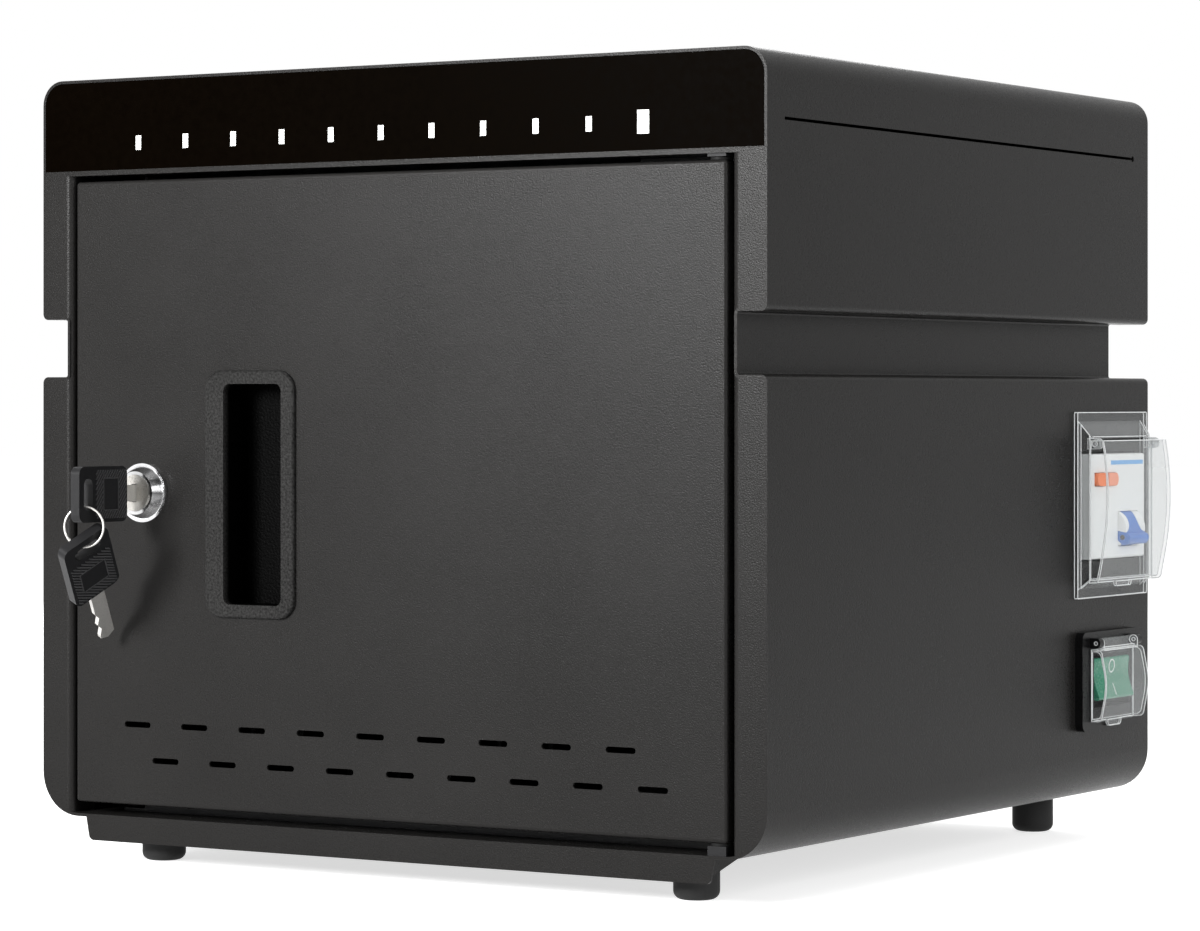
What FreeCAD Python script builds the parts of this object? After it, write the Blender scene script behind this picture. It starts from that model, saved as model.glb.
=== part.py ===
import FreeCAD, Part
import math
import os
import Sketcher
from types import SimpleNamespace

# Desktop charging cabinet for tablets and laptops, in millimetres.
# X runs to the right, Y to the back and Z up, seen from the door.
# The origin is on the floor, under the middle of the casing.

SIZES = {
    # Casing of folded sheet steel
    "body_width": 345.0,
    "body_depth": 340.0,
    "body_height": 303.5,
    "floor_gap": 18.5,
    "sheet": 1.2,
    "top_bend": 10.0,
    "bottom_bend": 18.0,
    "groove_bottom": 199.6,
    "groove_height": 23.7,
    "groove_depth": 12.9,
    "groove_lip": 2.5,
    "groove_corner": 1.0,
    "slit_drop": 26.5,
    "slit_width": 1.2,
    "slit_front": 13.3,
    "slit_back": 16.0,
    "slit_eye": 1.3,
    "fit": 0.15,
    "overrun": 5.0,
    # Base pan with its front lip
    "pan_inset": 22.5,
    "lip_drop": 9.5,
    "lip_draft": 2.0,
    "lip_corner": 2.5,
    "gusset_length": 28.0,
    "flange_height": 13.0,
    # Back panel
    "back_recess": 13.0,
    "vent_length": 26.0,
    "vent_height": 3.0,
    "vent_step_x": 36.0,
    "vent_step_z": 11.0,
    "vent_drop": 50.5,
    "panel_screw_head": 3.5,
    "panel_screw_shank": 1.6,
    "panel_screw_length": 7.0,
    "panel_screw_cap": 2.0,
    "panel_screw_inset": 30.0,
    "screw_clearance": 0.1,
    # Door opening
    "stile_width": 15.3,
    "stile_return": 15.0,
    "stile_bend": 3.0,
    # Fascia, its light windows and their board
    "shelf_drop": 39.5,
    "shelf_thick": 2.0,
    "fascia_thick": 3.0,
    "bay_inset": 37.84,
    "space_width": 65.96,
    "window_width": 2.7,
    "window_height": 5.8,
    "window_drop": 26.7,
    "power_window_inset": 53.8,
    "power_window_width": 5.2,
    "power_window_height": 9.0,
    "window_length": 5.0,
    "lamp_side": 2.0,
    "lamp_thick": 1.0,
    "board_thick": 1.6,
    "lamp_board_height": 14.0,
    "lamp_board_margin": 9.0,
    "bracket_foot": 14.0,
    # Door
    "door_gap": 2.0,
    "door_floor_gap": 4.8,
    "door_top_gap": 2.5,
    "door_depth": 15.0,
    "door_edge": 1.5,
    "slot_length": 13.4,
    "slot_height": 2.4,
    "slot_margin": 32.2,
    "slot_stagger": 14.3,
    "upper_slot_rise": 33.0,
    "lower_slot_rise": 18.6,
    # Door pull
    "pull_inset": 91.65,
    "pull_rise": 127.75,
    "pull_rim_left": 9.6,
    "pull_rim_right": 6.0,
    "pull_rim_end": 5.35,
    "pull_corner": 8.0,
    "pull_rim": 2.0,
    "pull_rim_edge": 1.2,
    "pull_open_width": 28.7,
    "pull_open_height": 88.8,
    "pull_open_corner": 3.0,
    "pull_wall": 2.0,
    "pull_depth": 17.0,
    # Door pivots
    "pivot_inset": 4.8,
    "pin_radius": 2.0,
    "pin_clearance": 0.05,
    "pin_engage": 6.5,
    "hinge_play": 0.1,
    "bush_wall": 0.95,
    "bush_collar": 4.2,
    "bush_collar_thick": 1.0,
    "bush_length": 6.5,
    "bracket_width": 8.0,
    "bracket_length": 13.5,
    # Cam lock
    "lock_inset": 35.7,
    "lock_rise": 127.8,
    "rim_radius": 12.0,
    "rim_thick": 1.6,
    "dish_radius": 11.0,
    "nose_radius": 8.8,
    "nose_length": 6.2,
    "barrel_radius": 9.4,
    "barrel_length": 15.6,
    "barrel_clearance": 0.1,
    "plug_radius": 7.4,
    "plug_clearance": 0.1,
    "plug_proud": 0.6,
    "keyway_width": 2.3,
    "keyway_height": 7.4,
    "keyway_depth": 18.4,
    "nut_across": 23.0,
    "nut_thick": 4.0,
    "cam_gap": 0.3,
    "cam_thick": 2.0,
    "cam_width": 15.0,
    "cam_reach": 46.0,
    "cam_square": 7.0,
    "cam_screw_head": 4.5,
    "cam_screw_cap": 2.2,
    "cam_screw_shank": 1.7,
    "cam_screw_length": 4.0,
    # Keys and their ring
    "key_head_length": 30.5,
    "key_head_width": 22.4,
    "key_head_thick": 4.4,
    "key_head_corner": 3.2,
    "key_eye_wall": 3.0,
    "key_eye_length": 5.5,
    "key_eye_width": 12.8,
    "key_eye_corner": 2.6,
    "key_neck": 7.2,
    "key_shank_width": 6.8,
    "key_shank_thick": 2.0,
    "key_insert": 18.0,
    "key_cut_depth": 1.3,
    "ring_radius": 8.1,
    "ring_wire": 0.9,
    "ring_seat": 0.65,
    "spare_seat": 2.4,
    # Bays
    "divider_thick": 2.0,
    "divider_clearance": 0.15,
    "bay_front": 20.0,
    "bay_rear_inset": 56.0,
    "bay_floor_thick": 6.0,
    "divider_sink": 3.5,
    "divider_setback": 10.0,
    "divider_rear_gap": 1.0,
    "rail_depth": 12.0,
    "rail_height": 12.0,
    "rail_slot": 8.0,
    "rail_front_inset": 24.0,
    "rail_rear_inset": 8.0,
    "divider_round": 20.0,
    "liner_foot": 12.0,
    # Charging board
    "port_level": 100.0,
    "port_width": 3.3,
    "port_height": 9.0,
    "port_wall": 0.5,
    "port_proud": 1.0,
    "standoff_length": 6.0,
    "standoff_radius": 3.0,
    "charger_board_height": 62.0,
    "charger_board_margin": 12.0,
    "standoff_inset": 8.0,
    # Power supply
    "supply_width": 42.0,
    "supply_length": 170.0,
    "supply_height": 98.0,
    "supply_front": 34.0,
    "supply_gap": 5.0,
    "supply_recess": 14.0,
    "supply_step": 26.0,
    # Mains inlet
    "inlet_inset": 50.5,
    "inlet_z": 62.0,
    "inlet_flange_width": 50.0,
    "inlet_flange_height": 23.0,
    "inlet_flange_corner": 6.0,
    "inlet_flange_thick": 3.0,
    "inlet_body_width": 27.6,
    "inlet_body_height": 19.8,
    "inlet_body_depth": 20.0,
    "inlet_mouth_width": 24.4,
    "inlet_mouth_height": 16.6,
    "inlet_mouth_chamfer": 5.0,
    "inlet_mouth_depth": 17.0,
    "inlet_pin_width": 2.0,
    "inlet_pin_height": 4.0,
    "inlet_pin_length": 14.0,
    "inlet_pin_spread": 7.0,
    "inlet_pin_lift": 2.0,
    "inlet_screw_spread": 20.0,
    "inlet_screw_head": 3.0,
    "inlet_screw_cap": 1.6,
    "inlet_screw_shank": 1.5,
    "inlet_screw_length": 8.0,
    # Circuit breaker on its rail, behind a clear flap
    "breaker_gap": 1.0,
    "breaker_width": 54.0,
    "breaker_level": 144.5,
    "breaker_nose_height": 45.0,
    "breaker_nose_proud": 5.0,
    "breaker_nose_depth": 20.5,
    "breaker_height": 80.0,
    "breaker_corner": 1.2,
    "rail_web": 27.0,
    "rail_wide": 35.0,
    "rail_deep": 7.5,
    "rail_sheet": 1.0,
    "rail_length": 52.0,
    "rail_play": 0.3,
    "rail_bite": 1.5,
    "lever_width": 19.5,
    "lever_side": 7.3,
    "lever_drop": 10.0,
    "lever_hub": 8.6,
    "lever_sink": 4.8,
    "lever_reach": 11.4,
    "lever_thick": 5.0,
    "lever_round": 2.2,
    "lever_clearance": 0.4,
    "button_width": 9.6,
    "button_height": 5.6,
    "button_round": 2.6,
    "button_gap": 1.6,
    "button_front": 3.6,
    "button_rise": 11.6,
    "button_proud": 1.6,
    "button_sink": 4.0,
    "button_clearance": 0.2,
    "button_room": 1.6,
    "window_margin": 1.0,
    "guard_inset": 5.0,
    "guard_width": 71.0,
    "guard_bottom": 105.3,
    "guard_height": 79.7,
    "guard_corner": 1.0,
    "guard_thick": 2.0,
    "guard_rim": 2.5,
    "guard_wall": 1.5,
    "mouth_rise": 3.3,
    "mouth_side": 4.8,
    "mouth_top": 9.8,
    "mouth_bottom": 7.5,
    "flap_overlap": 1.5,
    "flap_bottom": 112.0,
    "flap_top": 173.0,
    "flap_low_rise": 4.5,
    "flap_crown_rise": 11.2,
    "flap_high_rise": 6.9,
    "flap_crown_level": 147.0,
    "flap_crown_bend": 130.0,
    "flap_corner": 2.5,
    "flap_wall": 1.5,
    "flap_gap": 0.3,
    "flap_knuckle": 2.4,
    "flap_axis_drop": 1.5,
    "flap_axis_out": 2.2,
    "flap_ear_width": 3.0,
    "flap_ear_gap": 0.4,
    "flap_pin_radius": 1.4,
    "flap_tab_width": 16.0,
    "flap_tab_drop": 2.0,
    # Rocker switch behind a clear flap
    "switch_inset": 16.5,
    "switch_width": 58.0,
    "switch_bottom": 48.7,
    "switch_height": 42.3,
    "switch_corner": 3.5,
    "switch_proud": 3.5,
    "switch_body_width": 47.0,
    "switch_body_height": 31.0,
    "switch_body_depth": 28.0,
    "rocker_width": 35.0,
    "rocker_height": 19.6,
    "rocker_well": 12.0,
    "rocker_play": 1.6,
    "rocker_side_play": 0.3,
    "rocker_pivot_sink": 5.0,
    "rocker_proud": 1.8,
    "rocker_dip": 2.2,
    "rocker_sink": 4.5,
    "rocker_pin_radius": 1.5,
    "rocker_pin_length": 2.0,
    "cover_width": 43.0,
    "cover_bottom_inset": 4.0,
    "cover_height": 31.0,
    "cover_rise": 5.0,
    "cover_bulge": 3.0,
    "cover_wall": 1.3,
    "cover_corner": 2.5,
    "cover_gap": 0.3,
    "cover_knuckle": 2.1,
    "cover_axis_lift": 2.6,
    "cover_axis_out": 2.6,
    "cover_pin_radius": 1.0,
    "cover_ear_width": 4.0,
    "cover_ear_gap": 0.3,
    "cover_tab_width": 14.0,
    "cover_tab_drop": 2.6,
    # Service cover over the electrical space
    "cover_screw_head": 3.2,
    "cover_screw_cap": 1.8,
    "cover_screw_shank": 1.5,
    "cover_screw_length": 6.0,
    "cover_screw_inset": 30.0,
    # Feet
    "foot_radius": 9.0,
    "foot_round": 3.4,
    "foot_side_inset": 44.5,
    "foot_end_inset": 24.0,
    "foot_recess_radius": 5.0,
    "foot_recess": 7.0,
    "foot_screw_head": 4.0,
    "foot_screw_cap": 2.6,
    "foot_screw_shank": 2.0,
}

BAY_COUNT = 10
SLOT_COUNT = 9
VENT_COLUMNS = 6
VENT_ROWS = 5

# Angles in degrees
RING_TURN = 22.0
SPARE_YAW = -8.2
SPARE_PITCH = 25.5
SPARE_ROLL = -54.9
LEVER_REST = -28.0
ROCKER_REST = -8.0

doc = FreeCAD.newDocument("charging_cabinet")
sheet = doc.addObject("Spreadsheet::Sheet", "Sizes")
for row, (alias, number) in enumerate(SIZES.items(), 1):
    sheet.set(f"A{row}", alias)
    sheet.set(f"B{row}", str(number))
    sheet.setAlias(f"B{row}", alias)
doc.recompute()


class Size:
    """A length that keeps its number beside the sheet formula that drives it."""

    def __init__(self, value, text):
        self.value = value
        self.text = text

    def join(self, other, value, sign):
        return Size(value, f"({self.text} {sign} {as_size(other).text})")

    def __add__(self, other):
        return self.join(other, self.value + as_size(other).value, "+")

    def __sub__(self, other):
        return self.join(other, self.value - as_size(other).value, "-")

    def __mul__(self, factor):
        return self.join(factor, self.value * as_size(factor).value, "*")

    def __truediv__(self, factor):
        return self.join(factor, self.value / as_size(factor).value, "/")

    def __neg__(self):
        return Size(-self.value, f"(0 - {self.text})")


def as_size(number):
    """A bare count or zero as a Size."""
    if isinstance(number, Size):
        return number
    return Size(float(number), f"({number})")


s = SimpleNamespace(**{alias: Size(number, f"Sizes.{alias}") for alias, number in SIZES.items()})
ZERO = as_size(0)

PLANES = {"XY": "XY_Plane", "XZ": "XZ_Plane", "YZ": "YZ_Plane"}
AXIS_TURNS = {
    "X": FreeCAD.Rotation(FreeCAD.Vector(0, 1, 0), 90),
    "Y": FreeCAD.Rotation(FreeCAD.Vector(1, 0, 0), -90),
    "Z": FreeCAD.Rotation(),
}
OUTWARD = FreeCAD.Rotation(FreeCAD.Vector(1, 0, 0), 90)
NODES = []
CUTTING = []


def node(piece, label):
    """Names a finished piece of the cabinet."""
    piece.Label = label
    NODES.append(piece)
    return piece


def place(piece, x, y, z, turn=None):
    """Puts a piece at a point, turned if asked."""
    if turn:
        piece.Placement = FreeCAD.Placement(FreeCAD.Vector(0, 0, 0), turn)
    for axis, size in zip("xyz", (x, y, z)):
        piece.setExpression(f"Placement.Base.{axis}", as_size(size).text)
    return piece


def block(name, x0, x1, y0, y1, z0, z1):
    """A box between two corners."""
    box = doc.addObject("Part::Box", name)
    for side, low, high in (("Length", x0, x1), ("Width", y0, y1), ("Height", z0, z1)):
        box.setExpression(side, (as_size(high) - low).text)
    return place(box, x0, y0, z0)


def rod(name, axis, radius, low, high, first, second):
    """A round bar along one axis; first and second are its other two coordinates in X, Y, Z order."""
    bar = doc.addObject("Part::Cylinder", name)
    bar.setExpression("Radius", radius.text)
    bar.setExpression("Height", (as_size(high) - low).text)
    at = {"X": (low, first, second), "Y": (first, low, second), "Z": (first, second, low)}[axis]
    return place(bar, *at, AXIS_TURNS[axis])


def fuse(name, *pieces):
    """One solid joined from several."""
    joined = doc.addObject("Part::MultiFuse", name)
    joined.Shapes = list(pieces)
    return joined


def cut(name, base, *tools):
    """A solid less one or more others."""
    less = doc.addObject("Part::Cut", name)
    less.Base = base
    less.Tool = tools[0] if len(tools) == 1 else fuse(f"{name}_tools", *tools)
    CUTTING.append(less)
    return less


def common(name, first, second):
    """What two solids share."""
    shared = doc.addObject("Part::Common", name)
    shared.Base = first
    shared.Tool = second
    return shared


def group(name, pieces):
    """Several separate solids kept as one piece."""
    gathered = doc.addObject("Part::Compound", name)
    gathered.Links = list(pieces)
    return gathered


def mirror(name, piece, x, y):
    """A piece mirrored through the plane with the given normal."""
    copy = doc.addObject("Part::Mirroring", name)
    copy.Source = piece
    copy.Normal = FreeCAD.Vector(x, y, 0)
    return copy


class Disc:
    """A round outline."""

    def __init__(self, u, v, radius):
        self.u = as_size(u)
        self.v = as_size(v)
        self.radius = radius


def rectangle(u0, u1, v0, v1, corner=None):
    """The corners of a rectangle, rounded if asked."""
    return [(u0, v0, corner), (u1, v0, corner), (u1, v1, corner), (u0, v1, corner)]


def stadium(u, v, length, height):
    """A slot with round ends, centred on a point."""
    almost_half_share = 0.4999
    half_length = length / 2
    half_height = height / 2
    bend = height * almost_half_share
    return rectangle(u - half_length, u + half_length, v - half_height, v + half_height, bend)


def drive(sketch, constraint, size):
    """Adds a sketch dimension and ties it to its formula."""
    index = sketch.addConstraint(constraint)
    sketch.renameConstraint(index, f"size_{index}")
    sketch.setExpression(f"Constraints.size_{index}", size.text)


def fix_point(sketch, shape, end, u, v):
    """Holds a sketch point at two driven distances from the origin."""
    drive(sketch, Sketcher.Constraint("DistanceX", -1, 1, shape, end, u.value), u)
    drive(sketch, Sketcher.Constraint("DistanceY", -1, 1, shape, end, v.value), v)


def draw_disc(sketch, disc):
    """Draws a circle with its centre and radius driven."""
    centre = FreeCAD.Vector(disc.u.value, disc.v.value, 0)
    circle = sketch.addGeometry(Part.Circle(centre, FreeCAD.Vector(0, 0, 1), disc.radius.value), False)
    fix_point(sketch, circle, 3, disc.u, disc.v)
    drive(sketch, Sketcher.Constraint("Radius", circle, disc.radius.value), disc.radius)


def draw_corners(sketch, corners):
    """Draws a closed outline through its corners, each sharp or rounded by its own radius."""
    spots = [FreeCAD.Vector(as_size(u).value, as_size(v).value, 0) for u, v, bend in corners]
    count = len(corners)
    entry, leave, arcs = [], [], []
    for i, (u, v, bend) in enumerate(corners):
        here = spots[i]
        back_way = (spots[i - 1] - here).normalize()
        on_way = (spots[(i + 1) % count] - here).normalize()
        if bend is None:
            entry.append(here)
            leave.append(here)
            arcs.append(None)
            continue
        half_angle = back_way.getAngle(on_way) / 2
        reach = bend.value / math.tan(half_angle)
        entry.append(here + back_way * reach)
        leave.append(here + on_way * reach)
        centre = here + (back_way + on_way).normalize() * (bend.value / math.sin(half_angle))
        left_turn = back_way.cross(on_way).z < 0
        first, last = (entry[i], leave[i]) if left_turn else (leave[i], entry[i])
        angles = [math.atan2(p.y - centre.y, p.x - centre.x) for p in (first, last)]
        circle = Part.Circle(centre, FreeCAD.Vector(0, 0, 1), bend.value)
        arc = sketch.addGeometry(Part.ArcOfCircle(circle, *angles), False)
        arcs.append((arc, 1 if left_turn else 2, 2 if left_turn else 1))
    lines = []
    for i in range(count):
        segment = Part.LineSegment(leave[i], entry[(i + 1) % count])
        lines.append(sketch.addGeometry(segment, False))
    for i, (u, v, bend) in enumerate(corners):
        before, after = lines[i - 1], lines[i]
        if bend is None:
            sketch.addConstraint(Sketcher.Constraint("Coincident", before, 2, after, 1))
            fix_point(sketch, after, 1, as_size(u), as_size(v))
            continue
        arc, start, end = arcs[i]
        corner = sketch.addGeometry(Part.Point(spots[i]), True)
        sketch.addConstraint([
            Sketcher.Constraint("Tangent", before, 2, arc, start),
            Sketcher.Constraint("Tangent", arc, end, after, 1),
            Sketcher.Constraint("PointOnObject", corner, 1, before),
            Sketcher.Constraint("PointOnObject", corner, 1, after),
        ])
        drive(sketch, Sketcher.Constraint("Radius", arc, bend.value), bend)
        fix_point(sketch, corner, 1, as_size(u), as_size(v))


def new_body(name):
    """An empty body for padded, cut and turned features."""
    return doc.addObject("PartDesign::Body", name)


def sketch_on(body, plane, level, outlines):
    """A sketch parallel to one of the body's planes, at a level along that plane's axis."""
    sketch = body.newObject("Sketcher::SketchObject", f"{body.Name}_outline")
    support = [f for f in body.Origin.OriginFeatures if f.Role == PLANES[plane]][0]
    sketch.AttachmentSupport = [(support, "")]
    sketch.MapMode = "FlatFace"
    level = as_size(level)
    sketch.setExpression("AttachmentOffset.Base.z", (-level if plane == "XZ" else level).text)
    for outline in outlines:
        if isinstance(outline, Disc):
            draw_disc(sketch, outline)
        else:
            draw_corners(sketch, outline)
    return sketch


def pad(body, plane, low, high, *outlines):
    """Adds material between two levels along the plane's axis."""
    sketch = sketch_on(body, plane, high if plane == "XZ" else low, outlines)
    feature = body.newObject("PartDesign::Pad", f"{body.Name}_pad")
    feature.Profile = sketch
    feature.setExpression("Length", (as_size(high) - low).text)
    return feature


def pocket(body, plane, low, high, *outlines):
    """Takes material away between two levels along the plane's axis."""
    sketch = sketch_on(body, plane, low if plane == "XZ" else high, outlines)
    feature = body.newObject("PartDesign::Pocket", f"{body.Name}_pocket")
    feature.Profile = sketch
    feature.setExpression("Length", (as_size(high) - low).text)
    CUTTING.append(feature)
    return feature


def repeat(body, feature, direction, pitch, count):
    """Repeats a feature along its sketch's level or upright axis."""
    row = body.newObject("PartDesign::LinearPattern", f"{body.Name}_row")
    row.Originals = [feature]
    row.Direction = (feature.Profile[0], [direction])
    row.setExpression("Length", (pitch * (count - 1)).text)
    row.Occurrences = count
    body.Tip = row
    return row


def lathe(name, *outlines):
    """A turned piece: outlines of radius and height, revolved about the body's own upright axis."""
    body = new_body(name)
    sketch = sketch_on(body, "XZ", ZERO, outlines)
    feature = body.newObject("PartDesign::Revolution", f"{name}_turn")
    feature.Profile = sketch
    feature.ReferenceAxis = (sketch, ["V_Axis"])
    feature.Angle = 360
    return body


def front_rim(feature):
    """Names of the edges round the feature's foremost face."""
    face = min(feature.Shape.Faces, key=lambda side: side.CenterOfMass.y)
    around = face.OuterWire.Edges
    return [f"Edge{i}" for i, edge in enumerate(feature.Shape.Edges, 1) if any(edge.isSame(side) for side in around)]


# Planes that the pieces share
half = s.body_width / 2
base = s.floor_gap
top = s.floor_gap + s.body_height
front = -(s.body_depth / 2)
back = s.body_depth / 2
inner = half - s.sheet
floor_top = base + s.sheet
panel_back = back - s.back_recess
panel_front = panel_back - s.sheet
groove_top = s.groove_bottom + s.groove_height
groove_face = half - s.groove_depth
shelf_underside = top - s.shelf_drop
shelf_top = shelf_underside + s.shelf_thick
pan_half = half - s.pan_inset
door_bottom = floor_top + s.door_floor_gap
door_top = shelf_underside - s.door_top_gap
bay_left = s.bay_inset - half
bay_right = half - s.space_width
bay_pitch = (bay_right - bay_left) / BAY_COUNT
window_first = bay_left + bay_pitch / 2
window_spots = [window_first + bay_pitch * i for i in range(BAY_COUNT)]
bay_front = front + s.bay_front
bay_rear = back - s.bay_rear_inset
foot_x = half - s.foot_side_inset
foot_y = back - s.foot_end_inset
wall_left = bay_left + s.divider_thick / 2
wall_right = bay_right - s.divider_thick / 2
space_left = wall_right + s.sheet


def casing_side(side, gap, skin):
    """Corners of one side of the casing's section, from the floor up, set in from its outer face."""
    x = (half - gap) * side
    step = (groove_face - gap) * side
    low = s.groove_bottom - gap
    high = groove_top + gap
    lip = s.groove_lip - skin
    corner = s.groove_corner + skin
    return [
        (x, base + gap, s.bottom_bend - skin),
        (x, low, lip),
        (step, low, corner),
        (step, high, corner),
        (x, high, lip),
        (x, top - gap, s.top_bend - skin),
    ]


def inner_section(gap):
    """The closed section of the space inside the casing, less a gap all round."""
    return casing_side(1, gap, s.sheet) + casing_side(-1, gap, s.sheet)[::-1]


# Casing: one sheet folded over the top, with a carrying groove pressed along each side
outer_path = casing_side(1, ZERO, ZERO) + casing_side(-1, ZERO, ZERO)[::-1]
inner_path = casing_side(-1, s.sheet, s.sheet) + casing_side(1, s.sheet, s.sheet)[::-1]
right_end = [(pan_half, floor_top, None), (pan_half, base, None)]
left_end = [(-pan_half, base, None), (-pan_half, floor_top, None)]
wrap = new_body("wrap")
pad(wrap, "XZ", front, back, right_end + outer_path + left_end + inner_path)

breaker_rear = panel_front - s.breaker_gap
breaker_front = breaker_rear - s.breaker_width
nose_bottom = s.breaker_level - s.breaker_nose_height / 2
nose_top = s.breaker_level + s.breaker_nose_height / 2
window_bottom = nose_bottom - s.window_margin
window_top = nose_top + s.window_margin
switch_rear = back - s.switch_inset
switch_front = switch_rear - s.switch_width
switch_top = s.switch_bottom + s.switch_height
switch_y = switch_front + s.switch_width / 2
switch_z = s.switch_bottom + s.switch_height / 2
switch_body_half = s.switch_body_width / 2
switch_body_rise = s.switch_body_height / 2
openings = [
    block("breaker_window", inner - s.overrun, half + s.overrun, breaker_front - s.window_margin,
          breaker_rear + s.window_margin, window_bottom, window_top),
    block("switch_window", inner - s.overrun, half + s.overrun, switch_y - switch_body_half - s.fit,
          switch_y + switch_body_half + s.fit, switch_z - switch_body_rise - s.fit,
          switch_z + switch_body_rise + s.fit),
]
slit_height = top - s.slit_drop
slit_front = front + s.slit_front
slit_back = back - s.slit_back
for side, name in ((1, "right"), (-1, "left")):
    low, high = sorted(((inner - s.overrun) * side, (half + s.overrun) * side), key=lambda edge: edge.value)
    openings.append(block(f"{name}_slit", low, high, slit_front, slit_back,
                          slit_height - s.slit_width / 2, slit_height + s.slit_width / 2))
    openings.append(rod(f"{name}_slit_eye", "X", s.slit_eye, low, high, slit_back, slit_height))
    near, far = sorted(((groove_face - s.sheet) * side, (half + s.overrun) * side), key=lambda edge: edge.value)
    openings.append(block(f"{name}_groove_end", near, far, panel_back, back + s.overrun,
                          s.groove_bottom, groove_top))
node(cut("casing", wrap, *openings), "cabinet_shell")

# Base pan: floor sheet with a drooping front lip, two tapered gussets and a rear flange
pan = new_body("pan")
lip_foot = pan_half - s.lip_draft
lip_bottom = base - s.lip_drop
pad(pan, "XY", base, floor_top, rectangle(-pan_half, pan_half, front, panel_front))
pad(pan, "XZ", front, front + s.sheet,
    [(-pan_half, floor_top, None), (-lip_foot, lip_bottom, s.lip_corner),
     (lip_foot, lip_bottom, s.lip_corner), (pan_half, floor_top, None)])
lip_shoulder = base - s.lip_drop + s.lip_corner
for low, high in ((pan_half - s.lip_draft - s.sheet, lip_foot), (-lip_foot, -lip_foot + s.sheet)):
    pad(pan, "YZ", low, high,
        [(front, base + s.sheet, None), (front, lip_shoulder, None),
         (front + s.gusset_length, base, None), (front + s.gusset_length, floor_top, None)])
pad(pan, "XZ", panel_front - s.sheet, panel_front,
    rectangle(-pan_half, pan_half, base, floor_top + s.flange_height))
foot_holes = [
    rod("foot_hole", "Z", s.foot_screw_shank + s.screw_clearance, base - s.overrun, floor_top + s.overrun,
        foot_x * side, foot_y * end)
    for side in (1, -1) for end in (1, -1)
]
panel_screw_low = floor_top + s.flange_height / 2
panel_screw_high = shelf_top + s.flange_height / 2
panel_screw_spread = pan_half - s.panel_screw_inset
panel_screw_spots = [(panel_screw_spread * step, level)
                     for level in (panel_screw_low, panel_screw_high) for step in (-1, 0, 1)]


def panel_screw_holes(name, low, high, spots):
    """Clearance holes for the back panel's screws."""
    radius = s.panel_screw_shank + s.screw_clearance
    return [rod(name, "Y", radius, low, high, x, z) for x, z in spots]


flange_low = panel_front - s.sheet - s.overrun
flange_high = panel_front + s.overrun
node(cut("pan_drilled", pan, *foot_holes,
         *panel_screw_holes("pan_screw_hole", flange_low, flange_high, panel_screw_spots[:3])), "base_pan")

# Shelf under the electronics: its front edge shows as a thin lip above the door
shelf_half = inner - s.fit
shelf = fuse("shelf",
             block("shelf_sheet", -shelf_half, shelf_half, front, panel_front, shelf_underside, shelf_top),
             block("shelf_flange", -shelf_half, shelf_half, panel_front - s.sheet, panel_front, shelf_top,
                   shelf_top + s.flange_height))
node(cut("shelf_drilled", shelf,
         *panel_screw_holes("shelf_screw_hole", flange_low, flange_high, panel_screw_spots[3:])),
     "electronics_shelf")

# Stiles: the casing's front flanges, folded back beside the door
inner_space = new_body("inner_space")
pad(inner_space, "XZ", front, front + s.stile_return, inner_section(s.sheet))
stile_edge = half - s.stile_width
stile_rear = front + s.stile_return
for side, name in ((1, "right_stile"), (-1, "left_stile")):
    fold = new_body(f"{name}_fold")
    pad(fold, "XY", floor_top, shelf_underside,
        [(stile_edge * side, stile_rear, None),
         (stile_edge * side, front, s.stile_bend),
         (half * side, front, None),
         (half * side, front + s.sheet, None),
         ((stile_edge + s.sheet) * side, front + s.sheet, s.stile_bend - s.sheet),
         ((stile_edge + s.sheet) * side, stile_rear, None)])
    node(common(name, fold, inner_space), name)

# Back panel: set into the casing, with vent slots and the mains inlet's cut-out
rear = new_body("rear")
pad(rear, "XZ", panel_front, panel_back, inner_section(s.sheet + s.fit))
vent_start = -(s.vent_step_x * (VENT_COLUMNS - 1) / 2)
vent_base = shelf_underside - s.vent_drop
for level in range(VENT_ROWS):
    vent = pocket(rear, "XZ", panel_front - s.overrun, panel_back + s.overrun,
                  rectangle(vent_start - s.vent_length / 2, vent_start + s.vent_length / 2,
                            vent_base + s.vent_step_z * level,
                            vent_base + s.vent_step_z * level + s.vent_height))
    repeat(rear, vent, "H_Axis", s.vent_step_x, VENT_COLUMNS)
inlet_x = half - s.inlet_inset
inlet_hole_half = s.inlet_body_width / 2 + s.fit
inlet_hole_rise = s.inlet_body_height / 2 + s.fit
pocket(rear, "XZ", panel_front - s.overrun, panel_back + s.overrun,
       rectangle(inlet_x - inlet_hole_half, inlet_x + inlet_hole_half,
                 s.inlet_z - inlet_hole_rise, s.inlet_z + inlet_hole_rise))
inlet_screw_spots = [(inlet_x + s.inlet_screw_spread * side, s.inlet_z) for side in (1, -1)]
inlet_holes = [rod("inlet_hole", "Y", s.inlet_screw_shank + s.screw_clearance, panel_front - s.overrun,
                   panel_back + s.overrun, x, z) for x, z in inlet_screw_spots]
node(cut("rear_drilled", rear, *inlet_holes,
         *panel_screw_holes("panel_screw_hole", panel_front - s.overrun, panel_back + s.overrun,
                            panel_screw_spots)), "back_panel")


def screws(name, spots, face, head, cap, shank, length):
    """Pan head screws driven towards the front, or the back where the cap is negative."""
    pieces = []
    for x, z in spots:
        cap_low, cap_high = sorted((face, face + cap), key=lambda edge: edge.value)
        shank_low, shank_high = sorted((face, face - length), key=lambda edge: edge.value)
        pieces.append(fuse(f"{name}_fixing", rod(f"{name}_head", "Y", head, cap_low, cap_high, x, z),
                           rod(f"{name}_shank", "Y", shank, shank_low, shank_high, x, z)))
    return group(f"{name}_fixings", pieces)


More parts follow.
